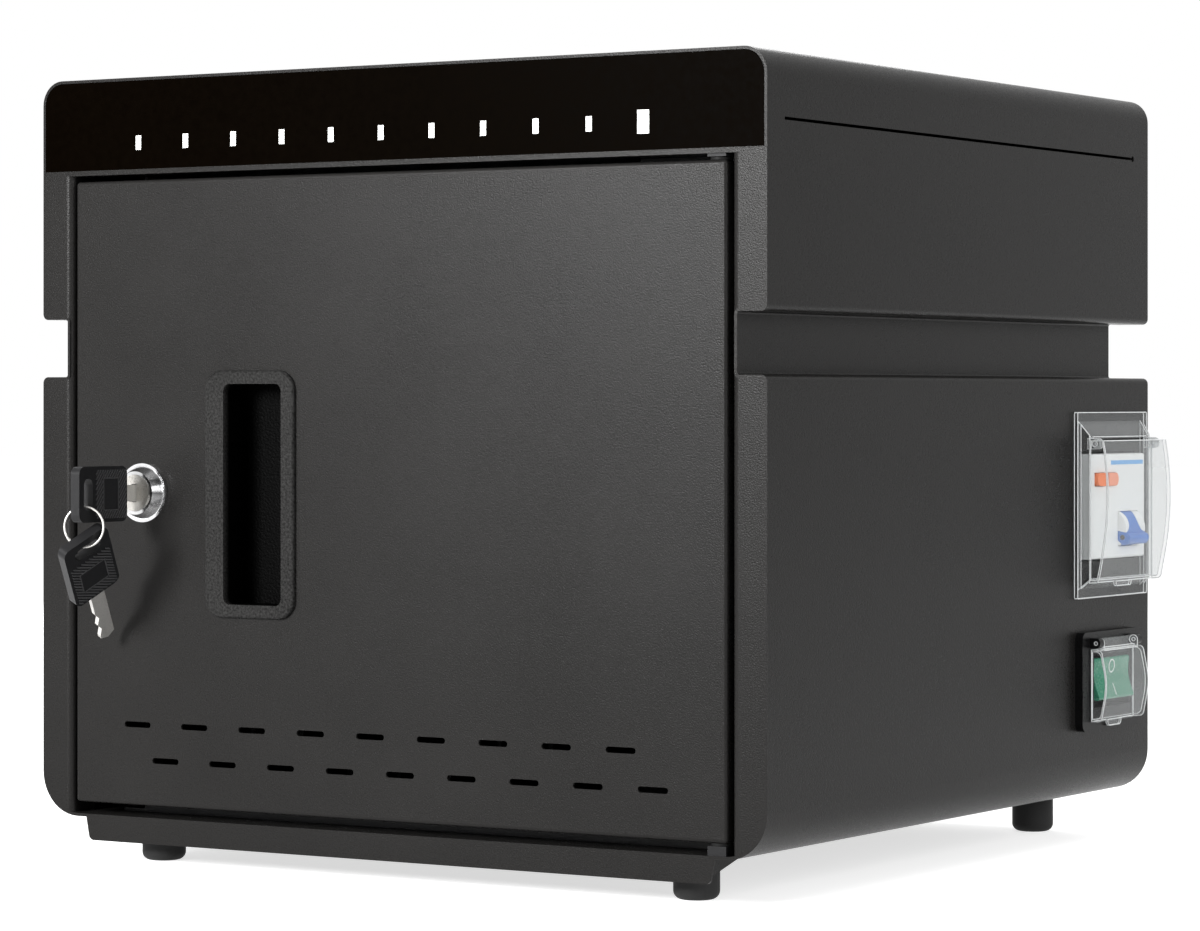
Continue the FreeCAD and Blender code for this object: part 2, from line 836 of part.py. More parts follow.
node(screws("panel", panel_screw_spots, panel_back, s.panel_screw_head, s.panel_screw_cap,
            s.panel_screw_shank, s.panel_screw_length), "back_panel_screws")

# Fascia: a gloss black strip let into the casing over the door, with a row of light windows
fascia = new_body("fascia")
fascia_half = inner - s.fit
fascia_top = top - s.sheet - s.fit
fascia_bend = s.top_bend - s.sheet
pad(fascia, "XZ", front, front + s.fascia_thick,
    [(-fascia_half, shelf_top, None), (fascia_half, shelf_top, None),
     (fascia_half, fascia_top, fascia_bend), (-fascia_half, fascia_top, fascia_bend)])
window_half = s.window_width / 2
window_level = top - s.window_drop
window_low = window_level - s.window_height / 2
window_high = window_level + s.window_height / 2
port_window = pocket(fascia, "XZ", front - s.overrun, front + s.fascia_thick + s.overrun,
                     rectangle(window_first - window_half, window_first + window_half,
                               window_low, window_high))
repeat(fascia, port_window, "H_Axis", bay_pitch, BAY_COUNT)
power_half = s.power_window_width / 2
power_window_x = half - s.power_window_inset
power_low = window_level - s.power_window_height / 2
power_high = window_level + s.power_window_height / 2
pocket(fascia, "XZ", front - s.overrun, front + s.fascia_thick + s.overrun,
       rectangle(power_window_x - power_half, power_window_x + power_half, power_low, power_high))
node(fascia, "front_panel")

# Light windows and the lamps behind them
pipe_end = front + s.window_length
lamp_end = pipe_end + s.lamp_thick
port_pipes = [block("port_pipe", x - window_half, x + window_half, front, pipe_end, window_low, window_high)
              for x in window_spots]
node(group("port_pipes", port_pipes), "port_light_windows")
node(block("power_pipe", power_window_x - power_half, power_window_x + power_half, front, pipe_end,
           power_low, power_high), "power_light_window")
lamp_half = s.lamp_side / 2
lamps = [block("lamp", x - lamp_half, x + lamp_half, pipe_end, lamp_end, window_level - lamp_half,
               window_level + lamp_half) for x in window_spots + [power_window_x]]
node(group("lamps", lamps), "indicator_lamps")
lamp_board_left = window_first - s.lamp_board_margin
lamp_board_right = power_window_x + s.lamp_board_margin
lamp_board_low = window_level - s.lamp_board_height / 2
lamp_board_high = window_level + s.lamp_board_height / 2
board_face = lamp_end + s.board_thick
node(block("lamp_board", lamp_board_left, lamp_board_right, lamp_end, board_face, lamp_board_low,
           lamp_board_high), "indicator_board")
bracket_profile = new_body("bracket_profile")
pad(bracket_profile, "YZ", lamp_board_left, lamp_board_right,
    [(board_face, shelf_top, None), (board_face + s.bracket_foot, shelf_top, None),
     (board_face + s.bracket_foot, shelf_top + s.sheet, None),
     (board_face + s.sheet, shelf_top + s.sheet, None),
     (board_face + s.sheet, lamp_board_high, None), (board_face, lamp_board_high, None)])
node(bracket_profile, "indicator_bracket")

# Door: a folded tray with vent slots, hung on two pivots at its right edge
door_half = stile_edge - s.door_gap
door_back = front + s.door_depth
door_face = front + s.sheet
door = new_body("door")
pad(door, "XZ", front, door_back, rectangle(-door_half, door_half, door_bottom, door_top, s.door_edge))
pocket(door, "XZ", door_face, door_back + s.overrun,
       rectangle(-door_half + s.sheet, door_half - s.sheet, door_bottom + s.sheet, door_top - s.sheet))
slot_pitch = (door_half * 2 - s.slot_margin * 2 - s.slot_stagger) / (SLOT_COUNT - 1)
upper_slot_x = s.slot_margin - door_half
slot_rows = ((upper_slot_x, s.upper_slot_rise), (upper_slot_x + s.slot_stagger, s.lower_slot_rise))
for x, rise in slot_rows:
    slot = pocket(door, "XZ", front - s.overrun, door_face + s.overrun,
                  stadium(x, door_bottom + rise, s.slot_length, s.slot_height))
    repeat(door, slot, "H_Axis", slot_pitch, SLOT_COUNT)
pull_x = s.pull_inset - door_half
pull_z = door_bottom + s.pull_rise
lock_x = s.lock_inset - door_half
lock_z = door_bottom + s.lock_rise
cup_half = s.pull_open_width / 2 + s.pull_wall
cup_rise = s.pull_open_height / 2 + s.pull_wall
cup_corner = s.pull_open_corner + s.pull_wall
cup_hole_half = cup_half + s.fit
cup_hole_rise = cup_rise + s.fit
pocket(door, "XZ", front - s.overrun, door_face + s.overrun,
       rectangle(pull_x - cup_hole_half, pull_x + cup_hole_half, pull_z - cup_hole_rise,
                 pull_z + cup_hole_rise, cup_corner),
       Disc(lock_x, lock_z, s.barrel_radius + s.barrel_clearance))
pivot_x = door_half - s.pivot_inset
pivot_y = front + s.pivot_inset
bush_radius = s.pin_radius + s.pin_clearance + s.bush_wall
last_pocket = pocket(door, "XY", door_bottom - s.overrun, door_top + s.overrun,
                     Disc(pivot_x, pivot_y, bush_radius + s.pin_clearance))
doc.recompute()
front_edges = front_rim(last_pocket)
door_bend = door.newObject("PartDesign::Fillet", "door_bend")
door_bend.Base = (last_pocket, front_edges)
door_bend.setExpression("Radius", s.door_edge.text)
door.Tip = door_bend
node(door, "door_panel")

# Door pull: a moulded cup with a flat rim
pull = new_body("pull")
rim_front = front - s.pull_rim
cup_back = front + s.pull_depth
open_half = s.pull_open_width / 2
open_rise = s.pull_open_height / 2
rim_left = pull_x - open_half - s.pull_rim_left
rim_right = pull_x + open_half + s.pull_rim_right
rim_rise = open_rise + s.pull_rim_end
rim = pad(pull, "XZ", rim_front, front,
          rectangle(rim_left, rim_right, pull_z - rim_rise, pull_z + rim_rise, s.pull_corner))
doc.recompute()
rim_edges = front_rim(rim)
rim_round = pull.newObject("PartDesign::Fillet", "rim_round")
rim_round.Base = (rim, rim_edges)
rim_round.setExpression("Radius", s.pull_rim_edge.text)
pull.Tip = rim_round
pad(pull, "XZ", front, cup_back,
    rectangle(pull_x - cup_half, pull_x + cup_half, pull_z - cup_rise, pull_z + cup_rise, cup_corner))
pocket(pull, "XZ", rim_front - s.overrun, cup_back - s.pull_wall,
       rectangle(pull_x - open_half, pull_x + open_half, pull_z - open_rise, pull_z + open_rise,
                 s.pull_open_corner))
node(pull, "door_pull")

# Door pivots: pins on small brackets, turning in collared bushes
pin_hole = s.pin_radius + s.pin_clearance
bracket_rear = front + s.bracket_length
lower_bracket_top = door_bottom - s.bush_collar_thick - s.hinge_play
upper_bracket_low = shelf_underside - s.sheet
bracket_half = s.bracket_width / 2
brackets = []
for name, low, high in (("lower", floor_top, lower_bracket_top), ("upper", upper_bracket_low, shelf_underside)):
    plate = block(f"{name}_plate", pivot_x - bracket_half, pivot_x + bracket_half, pivot_y - bracket_half,
                  bracket_rear, low, high)
    brackets.append(cut(f"{name}_bracket", plate, rod(f"{name}_eye", "Z", pin_hole, low - s.overrun,
                                                      high + s.overrun, pivot_x, pivot_y)))
node(group("brackets", brackets), "hinge_brackets")
pins = [rod("lower_pin", "Z", s.pin_radius, floor_top, door_bottom + s.pin_engage, pivot_x, pivot_y),
        rod("upper_pin", "Z", s.pin_radius, door_top - s.pin_engage, shelf_underside, pivot_x, pivot_y)]
node(group("pins", pins), "hinge_pins")
bushes = []
for name, seat, way in (("lower", door_bottom, 1), ("upper", door_top, -1)):
    collar_end = seat - s.bush_collar_thick * way
    sleeve_end = seat + s.bush_length * way
    collar_low, collar_high = sorted((seat, collar_end), key=lambda edge: edge.value)
    sleeve_low, sleeve_high = sorted((seat, sleeve_end), key=lambda edge: edge.value)
    low, high = sorted((collar_end, sleeve_end), key=lambda edge: edge.value)
    sleeve = fuse(f"{name}_sleeve",
                  rod(f"{name}_collar", "Z", s.bush_collar, collar_low, collar_high, pivot_x, pivot_y),
                  rod(f"{name}_tube", "Z", bush_radius, sleeve_low, sleeve_high, pivot_x, pivot_y))
    bushes.append(cut(f"{name}_bush", sleeve, rod(f"{name}_bore", "Z", pin_hole, low - s.overrun,
                                                  high + s.overrun, pivot_x, pivot_y)))
node(group("bushes", bushes), "hinge_bushes")

# Cam lock: turned body with a dished chrome rim, held by a hexagon nut
plug_bore = s.plug_radius + s.plug_clearance
barrel_end = -s.barrel_length
lock_body = lathe("lock_body_turned",
                  [(plug_bore, barrel_end, None), (s.barrel_radius, barrel_end, None),
                   (s.barrel_radius, ZERO, None), (s.rim_radius, ZERO, None),
                   (s.rim_radius, s.rim_thick, None), (s.dish_radius, s.rim_thick, None),
                   (s.nose_radius, s.nose_length, None), (plug_bore, s.nose_length, None)])
place(lock_body, lock_x, front, lock_z, OUTWARD)
node(lock_body, "lock_body")
nut = new_body("nut")
across_half = s.nut_across / 2
nut_corners = [(lock_x + across_half * (math.cos(math.radians(60 * i)) / math.cos(math.radians(30))),
                lock_z + across_half * (math.sin(math.radians(60 * i)) / math.cos(math.radians(30))), None)
               for i in range(6)]
pad(nut, "XZ", door_face, door_face + s.nut_thick, nut_corners,
    Disc(lock_x, lock_z, s.barrel_radius + s.pin_clearance))
node(nut, "lock_nut")

# Lock plug, with its keyway, and the cam that it turns
plug_front = front - s.nose_length - s.plug_proud
plug_rear = front + s.barrel_length + s.cam_gap
cam_rear = plug_rear + s.cam_thick
square_half = s.cam_square / 2
keyway_half = s.keyway_width / 2
keyway_rise = s.keyway_height / 2
plug = fuse("plug",
            rod("plug_barrel", "Y", s.plug_radius, plug_front, plug_rear, lock_x, lock_z),
            block("plug_tail", lock_x - square_half, lock_x + square_half, plug_rear, cam_rear,
                  lock_z - square_half, lock_z + square_half))
screw_seat = cam_rear - s.cam_screw_length
node(cut("plug_slotted", plug,
         block("keyway", lock_x - keyway_half, lock_x + keyway_half, plug_front - s.overrun,
               plug_front + s.keyway_depth, lock_z - keyway_rise, lock_z + keyway_rise),
         rod("cam_screw_hole", "Y", s.cam_screw_shank + s.pin_clearance, screw_seat, cam_rear + s.overrun,
             lock_x, lock_z)), "lock_plug")
cam = new_body("cam")
cam_half = s.cam_width / 2
cam_hole = square_half + s.pin_clearance
cam_bend_share = 0.45
pad(cam, "XZ", plug_rear, cam_rear,
    rectangle(lock_x - cam_half, lock_x + cam_half, lock_z - s.cam_reach, lock_z + cam_half,
              s.cam_width * cam_bend_share),
    rectangle(lock_x - cam_hole, lock_x + cam_hole, lock_z - cam_hole, lock_z + cam_hole))
node(cam, "lock_cam")
node(screws("cam", [(lock_x, lock_z)], cam_rear, s.cam_screw_head, s.cam_screw_cap, s.cam_screw_shank,
            s.cam_screw_length), "cam_screw")

# Keys: moulded heads with an oblong eye, on flat steel shanks
head_half = s.key_head_width / 2
head_thick_half = s.key_head_thick / 2
eye_end = s.key_eye_wall + s.key_eye_length
eye_half = s.key_eye_width / 2
shank_half = s.key_shank_width / 2
shank_thick_half = s.key_shank_thick / 2
shank_start = eye_end + s.key_eye_wall
shank_end = s.key_head_length + s.key_neck + s.key_insert
shank_slot = s.pin_clearance


def key_pieces(name):
    """A key along its own Y axis, from the outer end of its head to its tip."""
    head = new_body(f"{name}_moulding")
    pad(head, "YZ", -head_thick_half, head_thick_half,
        rectangle(ZERO, s.key_head_length, -head_half, head_half, s.key_head_corner),
        rectangle(s.key_eye_wall, eye_end, -eye_half, eye_half, s.key_eye_corner))
    pocket(head, "YZ", -shank_thick_half - shank_slot, shank_thick_half + shank_slot,
           rectangle(shank_start, s.key_head_length + s.overrun, -shank_half - shank_slot,
                     shank_half + shank_slot))
    shank = new_body(f"{name}_steel")
    cut_floor = -shank_half + s.key_cut_depth
    cut_share = 1 / 6
    step = s.key_insert * cut_share
    bite = s.key_head_length + s.key_neck + step
    pad(shank, "YZ", -shank_thick_half, shank_thick_half,
        [(shank_start, -shank_half, None), (bite, -shank_half, None), (bite + step, cut_floor, None),
         (bite + step * 2, -shank_half, None), (bite + step * 3, cut_floor, None),
         (bite + step * 4, -shank_half, None), (shank_end - step / 2, -shank_half, None),
         (shank_end, ZERO, None), (shank_end - step / 2, shank_half, None), (shank_start, shank_half, None)])
    return head, shank


key_start = plug_front - s.key_neck - s.key_head_length
for piece, label in zip(key_pieces("key"), ("key_head", "key_blade")):
    place(piece, lock_x, key_start, lock_z)
    node(piece, label)

# Split ring through the key's eye
ring_y = key_start + s.key_eye_wall + s.key_eye_length / 2
ring_top = lock_z - eye_half + s.ring_wire + s.ring_seat
ring_z = ring_top - s.ring_radius
ring = doc.addObject("Part::Torus", "ring")
ring.setExpression("Radius1", s.ring_radius.text)
ring.setExpression("Radius2", s.ring_wire.text)
ring_facing = FreeCAD.Rotation(FreeCAD.Vector(0, 0, 1), RING_TURN).multiply(OUTWARD)
place(ring, lock_x, ring_y, ring_z, ring_facing)
node(ring, "key_ring")

# Spare key, hanging on the ring with its tip towards the door
spare_turn = FreeCAD.Rotation(SPARE_YAW, SPARE_PITCH, SPARE_ROLL)
hang = spare_turn.multVec(FreeCAD.Vector(0, 1, 0))
seat = s.key_eye_wall + s.spare_seat
for piece, label in zip(key_pieces("spare"), ("spare_key_head", "spare_key_blade")):
    place(piece, lock_x - seat * hang.x, ring_y - seat * hang.y, ring_z - s.ring_radius - seat * hang.z,
          spare_turn)
    node(piece, label)

# Bays: liner, rear wall, floor, dividers and the rails that hold them
liner = new_body("liner")
pad(liner, "XZ", bay_front, bay_rear,
    [(wall_left, floor_top, None), (wall_left, shelf_underside, None),
     (wall_left - s.sheet, shelf_underside, None), (wall_left - s.sheet, floor_top + s.sheet, None),
     (wall_left - s.liner_foot, floor_top + s.sheet, None), (wall_left - s.liner_foot, floor_top, None)])
node(liner, "left_liner")
node(block("partition", wall_right, space_left, bay_front, panel_front - s.sheet, floor_top,
           shelf_underside), "partition_wall")
rear_wall_back = bay_rear + s.sheet
port_half = s.port_width / 2
port_rise = s.port_height / 2
rear_wall = new_body("rear_wall")
pad(rear_wall, "XZ", bay_rear, rear_wall_back,
    rectangle(wall_left - s.sheet, wall_right, floor_top, shelf_underside))
port_hole = pocket(rear_wall, "XZ", bay_rear - s.overrun, rear_wall_back + s.overrun,
                   rectangle(window_first - port_half - s.fit, window_first + port_half + s.fit,
                             s.port_level - port_rise - s.fit, s.port_level + port_rise + s.fit))
repeat(rear_wall, port_hole, "H_Axis", bay_pitch, BAY_COUNT)
node(rear_wall, "bay_rear_wall")
floor_high = floor_top + s.bay_floor_thick
divider_spots = [bay_left + bay_pitch * i for i in range(1, BAY_COUNT)]
divider_half = s.divider_thick / 2
slot_half = divider_half + s.divider_clearance
divider_front = bay_front + s.divider_setback
divider_rear = bay_rear - s.divider_rear_gap
floor_slots = [block("floor_slot", x - slot_half, x + slot_half, bay_front - s.overrun, bay_rear + s.overrun,
                     floor_high - s.divider_sink - s.divider_clearance, floor_high + s.overrun)
               for x in divider_spots]
node(cut("bay_tray", block("bay_tray_slab", wall_left, wall_right, bay_front, bay_rear, floor_top, floor_high),
         *floor_slots), "bay_floor")
rail_low = shelf_underside - s.rail_height
rails = []
for name, start in (("front", divider_front + s.rail_front_inset),
                    ("rear", divider_rear - s.rail_rear_inset - s.rail_depth)):
    bar = block(f"{name}_bar", wall_left, wall_right, start, start + s.rail_depth, rail_low, shelf_underside)
    notches = [block(f"{name}_notch", x - slot_half, x + slot_half, start - s.overrun,
                     start + s.rail_depth + s.overrun, rail_low - s.overrun,
                     rail_low + s.rail_slot + s.divider_clearance) for x in divider_spots]
    rails.append(cut(f"{name}_rail", bar, *notches))
node(group("rails", rails), "divider_rails")
divider_low = floor_high - s.divider_sink
divider_high = rail_low + s.rail_slot
dividers = []
for number, x in enumerate(divider_spots, 1):
    plate = new_body(f"divider_{number}")
    pad(plate, "YZ", x - divider_half, x + divider_half,
        [(divider_front, divider_low, None), (divider_rear, divider_low, None),
         (divider_rear, divider_high, None), (divider_front, divider_high, s.divider_round)])
    dividers.append(plate)
node(group("dividers", dividers), "bay_dividers")

# Charging board behind the bays, with one socket for each bay
board_front = rear_wall_back + s.standoff_length
board_rear = board_front + s.board_thick
ports = []
for number, x in enumerate(window_spots, 1):
    socket = new_body(f"port_{number}")
    pad(socket, "XZ", bay_rear - s.port_proud, board_front,
        rectangle(x - port_half, x + port_half, s.port_level - port_rise, s.port_level + port_rise))
    pocket(socket, "XZ", bay_rear - s.port_proud - s.overrun, board_front - s.port_wall,
           rectangle(x - port_half + s.port_wall, x + port_half - s.port_wall,
                     s.port_level - port_rise + s.port_wall, s.port_level + port_rise - s.port_wall))
    ports.append(socket)
node(group("ports", ports), "usb_c_ports")
charger_left = wall_left + s.charger_board_margin
charger_right = wall_right - s.charger_board_margin
charger_low = s.port_level - s.charger_board_height / 2
charger_high = s.port_level + s.charger_board_height / 2
node(block("charger_board", charger_left, charger_right, board_front, board_rear, charger_low,
           charger_high), "charging_board")
standoffs = [rod("standoff", "Y", s.standoff_radius, rear_wall_back, board_front, x, z)
             for x in (charger_left + s.standoff_inset, charger_right - s.standoff_inset)
             for z in (charger_low + s.standoff_inset, charger_high - s.standoff_inset)]
node(group("standoffs", standoffs), "board_standoffs")

# Power supply on the floor of the electrical space
supply_left = space_left + s.supply_gap
supply_right = supply_left + s.supply_width
supply_front = front + s.supply_front
supply_rear = supply_front + s.supply_length
supply_top = floor_top + s.supply_height
case = block("supply_case", supply_left, supply_right, supply_front, supply_rear, floor_top, supply_top)
node(cut("supply", case,
         block("supply_terminal_step", supply_left - s.overrun, supply_right + s.overrun,
               supply_rear - s.supply_recess, supply_rear + s.overrun, supply_top - s.supply_step,
               supply_top + s.overrun)), "power_supply")

# Mains inlet in the back panel, with its three pins
inlet = new_body("inlet")
flange_half = s.inlet_flange_width / 2
flange_rise = s.inlet_flange_height / 2
body_half = s.inlet_body_width / 2
body_rise = s.inlet_body_height / 2
mouth_half = s.inlet_mouth_width / 2
mouth_rise = s.inlet_mouth_height / 2
inlet_face = panel_back + s.inlet_flange_thick
inlet_front = panel_back - s.inlet_body_depth
pad(inlet, "XZ", panel_back, inlet_face,
    rectangle(inlet_x - flange_half, inlet_x + flange_half, s.inlet_z - flange_rise,
              s.inlet_z + flange_rise, s.inlet_flange_corner))
pad(inlet, "XZ", inlet_front, panel_back,
    rectangle(inlet_x - body_half, inlet_x + body_half, s.inlet_z - body_rise, s.inlet_z + body_rise))
inlet_floor = inlet_face - s.inlet_mouth_depth
pocket(inlet, "XZ", inlet_floor, inlet_face + s.overrun,
       [(inlet_x - mouth_half, s.inlet_z - mouth_rise, None),
        (inlet_x + mouth_half, s.inlet_z - mouth_rise, None),
        (inlet_x + mouth_half, s.inlet_z + mouth_rise - s.inlet_mouth_chamfer, None),
        (inlet_x + mouth_half - s.inlet_mouth_chamfer, s.inlet_z + mouth_rise, None),
        (inlet_x - mouth_half + s.inlet_mouth_chamfer, s.inlet_z + mouth_rise, None),
        (inlet_x - mouth_half, s.inlet_z + mouth_rise - s.inlet_mouth_chamfer, None)])
inlet_drill = [rod("inlet_drill", "Y", s.inlet_screw_shank + s.screw_clearance, panel_back - s.overrun,
                   inlet_face + s.overrun, x, z) for x, z in inlet_screw_spots]
node(cut("inlet_drilled", inlet, *inlet_drill), "mains_inlet")
pin_half = s.inlet_pin_width / 2
pin_rise = s.inlet_pin_height / 2
pin_spots = [(-s.inlet_pin_spread, -s.inlet_pin_lift), (s.inlet_pin_spread, -s.inlet_pin_lift),
             (ZERO, s.inlet_pin_lift)]
inlet_pins = [block("inlet_pin", inlet_x + x - pin_half, inlet_x + x + pin_half, inlet_floor,
                    inlet_floor + s.inlet_pin_length, s.inlet_z + z - pin_rise, s.inlet_z + z + pin_rise)
              for x, z in pin_spots]
node(group("inlet_pin_set", inlet_pins), "inlet_pins")
node(screws("inlet", inlet_screw_spots, inlet_face, s.inlet_screw_head, s.inlet_screw_cap,
            s.inlet_screw_shank, s.inlet_screw_length), "inlet_screws")

# Circuit breaker clipped to a rail on the partition, its nose through the casing's side
breaker = new_body("breaker")
nose_face = half + s.breaker_nose_proud
shoulder = nose_face - s.breaker_nose_depth
breaker_back = space_left + s.rail_deep - s.rail_bite
breaker_low = s.breaker_level - s.breaker_height / 2
breaker_high = s.breaker_level + s.breaker_height / 2
rail_notch = s.rail_wide / 2 + s.rail_play
notch_floor = space_left + s.rail_deep + s.rail_play
pad(breaker, "XZ", breaker_front, breaker_rear,
    [(breaker_back, breaker_low, s.breaker_corner), (shoulder, breaker_low, s.breaker_corner),
     (shoulder, nose_bottom, None), (nose_face, nose_bottom, s.breaker_corner),
     (nose_face, nose_top, s.breaker_corner), (shoulder, nose_top, None),
     (shoulder, breaker_high, s.breaker_corner), (breaker_back, breaker_high, s.breaker_corner),
     (breaker_back, s.breaker_level + rail_notch, None), (notch_floor, s.breaker_level + rail_notch, None),
     (notch_floor, s.breaker_level - rail_notch, None), (breaker_back, s.breaker_level - rail_notch, None)])
lever_rear = breaker_rear - s.lever_side
lever_front = lever_rear - s.lever_width
lever_x = nose_face - s.lever_sink
lever_z = s.breaker_level - s.lever_drop
lever_well = s.lever_hub + s.lever_clearance
pocket(breaker, "XZ", lever_front - s.lever_clearance, lever_rear + s.lever_clearance,
       Disc(lever_x, lever_z, lever_well))
button_low = s.breaker_level + s.button_rise - s.button_height / 2
button_high = s.breaker_level + s.button_rise + s.button_height / 2
button_spots = []
for index in range(2):
    start = breaker_front + s.button_front + (s.button_width + s.button_gap) * index
    button_spots.append((start, start + s.button_width))
button_floor = nose_face - s.button_sink
for start, end in button_spots:
    pocket(breaker, "YZ", button_floor - s.button_room, nose_face + s.overrun,
           rectangle(start - s.button_clearance, end + s.button_clearance, button_low - s.button_clearance,
                     button_high + s.button_clearance))
node(breaker, "breaker_body")
web_half = s.rail_web / 2
wide_half = s.rail_wide / 2
hat = new_body("hat")
rail_front = breaker_front + s.breaker_width / 2 - s.rail_length / 2
lip_face = space_left + s.rail_deep
pad(hat, "XZ", rail_front, rail_front + s.rail_length,
    [(space_left, s.breaker_level - web_half, None), (lip_face - s.rail_sheet, s.breaker_level - web_half, None),
     (lip_face - s.rail_sheet, s.breaker_level - wide_half, None), (lip_face, s.breaker_level - wide_half, None),
     (lip_face, s.breaker_level - web_half + s.rail_sheet, None),
     (space_left + s.rail_sheet, s.breaker_level - web_half + s.rail_sheet, None),
     (space_left + s.rail_sheet, s.breaker_level + web_half - s.rail_sheet, None),
     (lip_face, s.breaker_level + web_half - s.rail_sheet, None),
     (lip_face, s.breaker_level + wide_half, None), (lip_face - s.rail_sheet, s.breaker_level + wide_half, None),
     (lip_face - s.rail_sheet, s.breaker_level + web_half, None), (space_left, s.breaker_level + web_half, None)])
node(hat, "din_rail")

# Breaker lever and its two press buttons
lever = new_body("lever")
pad(lever, "XZ", lever_front, lever_rear, Disc(ZERO, ZERO, s.lever_hub))
lever_half = s.lever_thick / 2
pad(lever, "XZ", lever_front, lever_rear,
    [(ZERO, -lever_half, None), (s.lever_reach, -lever_half, s.lever_round),
     (s.lever_reach, lever_half, s.lever_round), (ZERO, lever_half, None)])
place(lever, lever_x, ZERO, lever_z, FreeCAD.Rotation(FreeCAD.Vector(0, -1, 0), LEVER_REST))
node(lever, "breaker_lever")
button_face = nose_face + s.button_proud
button_rounds = ((s.button_round, None), (None, s.button_round))
for (start, end), (near, far), label in zip(button_spots, button_rounds, ("test_button", "reset_button")):
    button = new_body(f"{label}_moulding")
    pad(button, "YZ", button_floor, button_face,
        [(start, button_low, near), (end, button_low, far), (end, button_high, far), (start, button_high, near)])
    node(button, label)

# Clear guard over the breaker: a flange, a sloping collar and two ears that carry the flap
guard = new_body("guard")
guard_rear = back - s.guard_inset
guard_front = guard_rear - s.guard_width
guard_top = s.guard_bottom + s.guard_height
guard_face = half + s.guard_thick
mouth = guard_face + s.mouth_rise


def collar(gap):
    """The collar's outline at the casing and at its mouth, both set in by a gap."""
    rim = s.guard_rim + gap
    side = s.mouth_side + gap
    return (rectangle(guard_front + rim, guard_rear - rim, s.guard_bottom + rim, guard_top - rim),
            rectangle(guard_front + side, guard_rear - side, s.guard_bottom + s.mouth_bottom + gap,
                      guard_top - s.mouth_top - gap))


def loft(body, kind, low, high, first, last):
    """Joins two outlines at two levels by sloping faces, adding or taking away."""
    feature = body.newObject(f"PartDesign::{kind}Loft", f"{body.Name}_loft")
    feature.Profile = sketch_on(body, "YZ", low, [first])
    feature.Sections = [sketch_on(body, "YZ", high, [last])]
    feature.Ruled = True
    body.Tip = feature
    return feature


collar_foot, collar_mouth = collar(ZERO)
inner_foot, inner_mouth = collar(s.guard_wall)
pad(guard, "YZ", half, guard_face,
    rectangle(guard_front, guard_rear, s.guard_bottom, guard_top, s.guard_corner))
loft(guard, "Additive", half, mouth, collar_foot, collar_mouth)
loft(guard, "Subtractive", half, mouth, inner_foot, inner_mouth)
flap_front = guard_front + s.mouth_side - s.flap_overlap
flap_rear = guard_rear - s.mouth_side + s.flap_overlap
flap_axis_x = mouth + s.flap_gap + s.flap_axis_out
flap_axis_z = s.flap_top - s.flap_axis_drop
ear_spots = []
for start, way in ((flap_front, 1), (flap_rear, -1)):
    near = start + (s.flap_wall + s.flap_ear_gap) * way
    ear_spots.append(sorted((near, near + s.flap_ear_width * way), key=lambda edge: edge.value))
ear_foot = mouth - s.guard_wall
ear_round_share = 0.9
ear_round = s.flap_knuckle * ear_round_share
for low, high in ear_spots:
    pad(guard, "XZ", low, high,
        [(ear_foot, flap_axis_z - s.flap_knuckle, None),
         (flap_axis_x + s.flap_knuckle, flap_axis_z - s.flap_knuckle, ear_round),
         (flap_axis_x + s.flap_knuckle, flap_axis_z + s.flap_knuckle, ear_round),
         (ear_foot, flap_axis_z + s.flap_knuckle, None)],
        Disc(flap_axis_x, flap_axis_z, s.flap_pin_radius + s.pin_clearance))
node(guard, "breaker_guard")

# Bowed flap of the guard, hung between the ears on two studs
flap_foot = mouth + s.flap_gap
flap_low = flap_foot + s.flap_low_rise
flap_crown = flap_foot + s.flap_crown_rise
flap_high = flap_foot + s.flap_high_rise
shell = new_body("flap_shell")
pad(shell, "XZ", flap_front, flap_rear,
    [(flap_foot, s.flap_bottom, None), (flap_low, s.flap_bottom, s.flap_corner),
     (flap_crown, s.flap_crown_level, s.flap_crown_bend), (flap_high, s.flap_top, None),
     (flap_axis_x - s.flap_axis_drop, s.flap_top, None), (flap_foot, flap_axis_z - s.flap_knuckle, None)])
pocket(shell, "XZ", flap_front + s.flap_wall, flap_rear - s.flap_wall,
       [(flap_foot - s.overrun, s.flap_bottom + s.flap_wall, None),
        (flap_low - s.flap_wall, s.flap_bottom + s.flap_wall, s.flap_corner - s.flap_wall),
        (flap_crown - s.flap_wall, s.flap_crown_level, s.flap_crown_bend - s.flap_wall),
        (flap_high - s.flap_wall, s.flap_top, None), (flap_high - s.flap_wall, s.flap_top + s.overrun, None),
        (flap_foot - s.overrun, s.flap_top + s.overrun, None)])
tab_half = s.flap_tab_width / 2
tab_round_share = 0.8
tab_round = s.flap_tab_drop * tab_round_share
flap_y = (flap_front + flap_rear) / 2
pad(shell, "YZ", flap_foot, flap_foot + s.flap_wall,
    [(flap_y - tab_half, s.flap_bottom + s.flap_wall, None),
     (flap_y - tab_half, s.flap_bottom - s.flap_tab_drop, tab_round),
     (flap_y + tab_half, s.flap_bottom - s.flap_tab_drop, tab_round),
     (flap_y + tab_half, s.flap_bottom + s.flap_wall, None)])
studs = [rod("flap_stud", "Y", s.flap_pin_radius, flap_front, ear_spots[0][1], flap_axis_x, flap_axis_z),
         rod("flap_stud", "Y", s.flap_pin_radius, ear_spots[1][0], flap_rear, flap_axis_x, flap_axis_z)]
node(fuse("flap", shell, *studs), "breaker_cover")

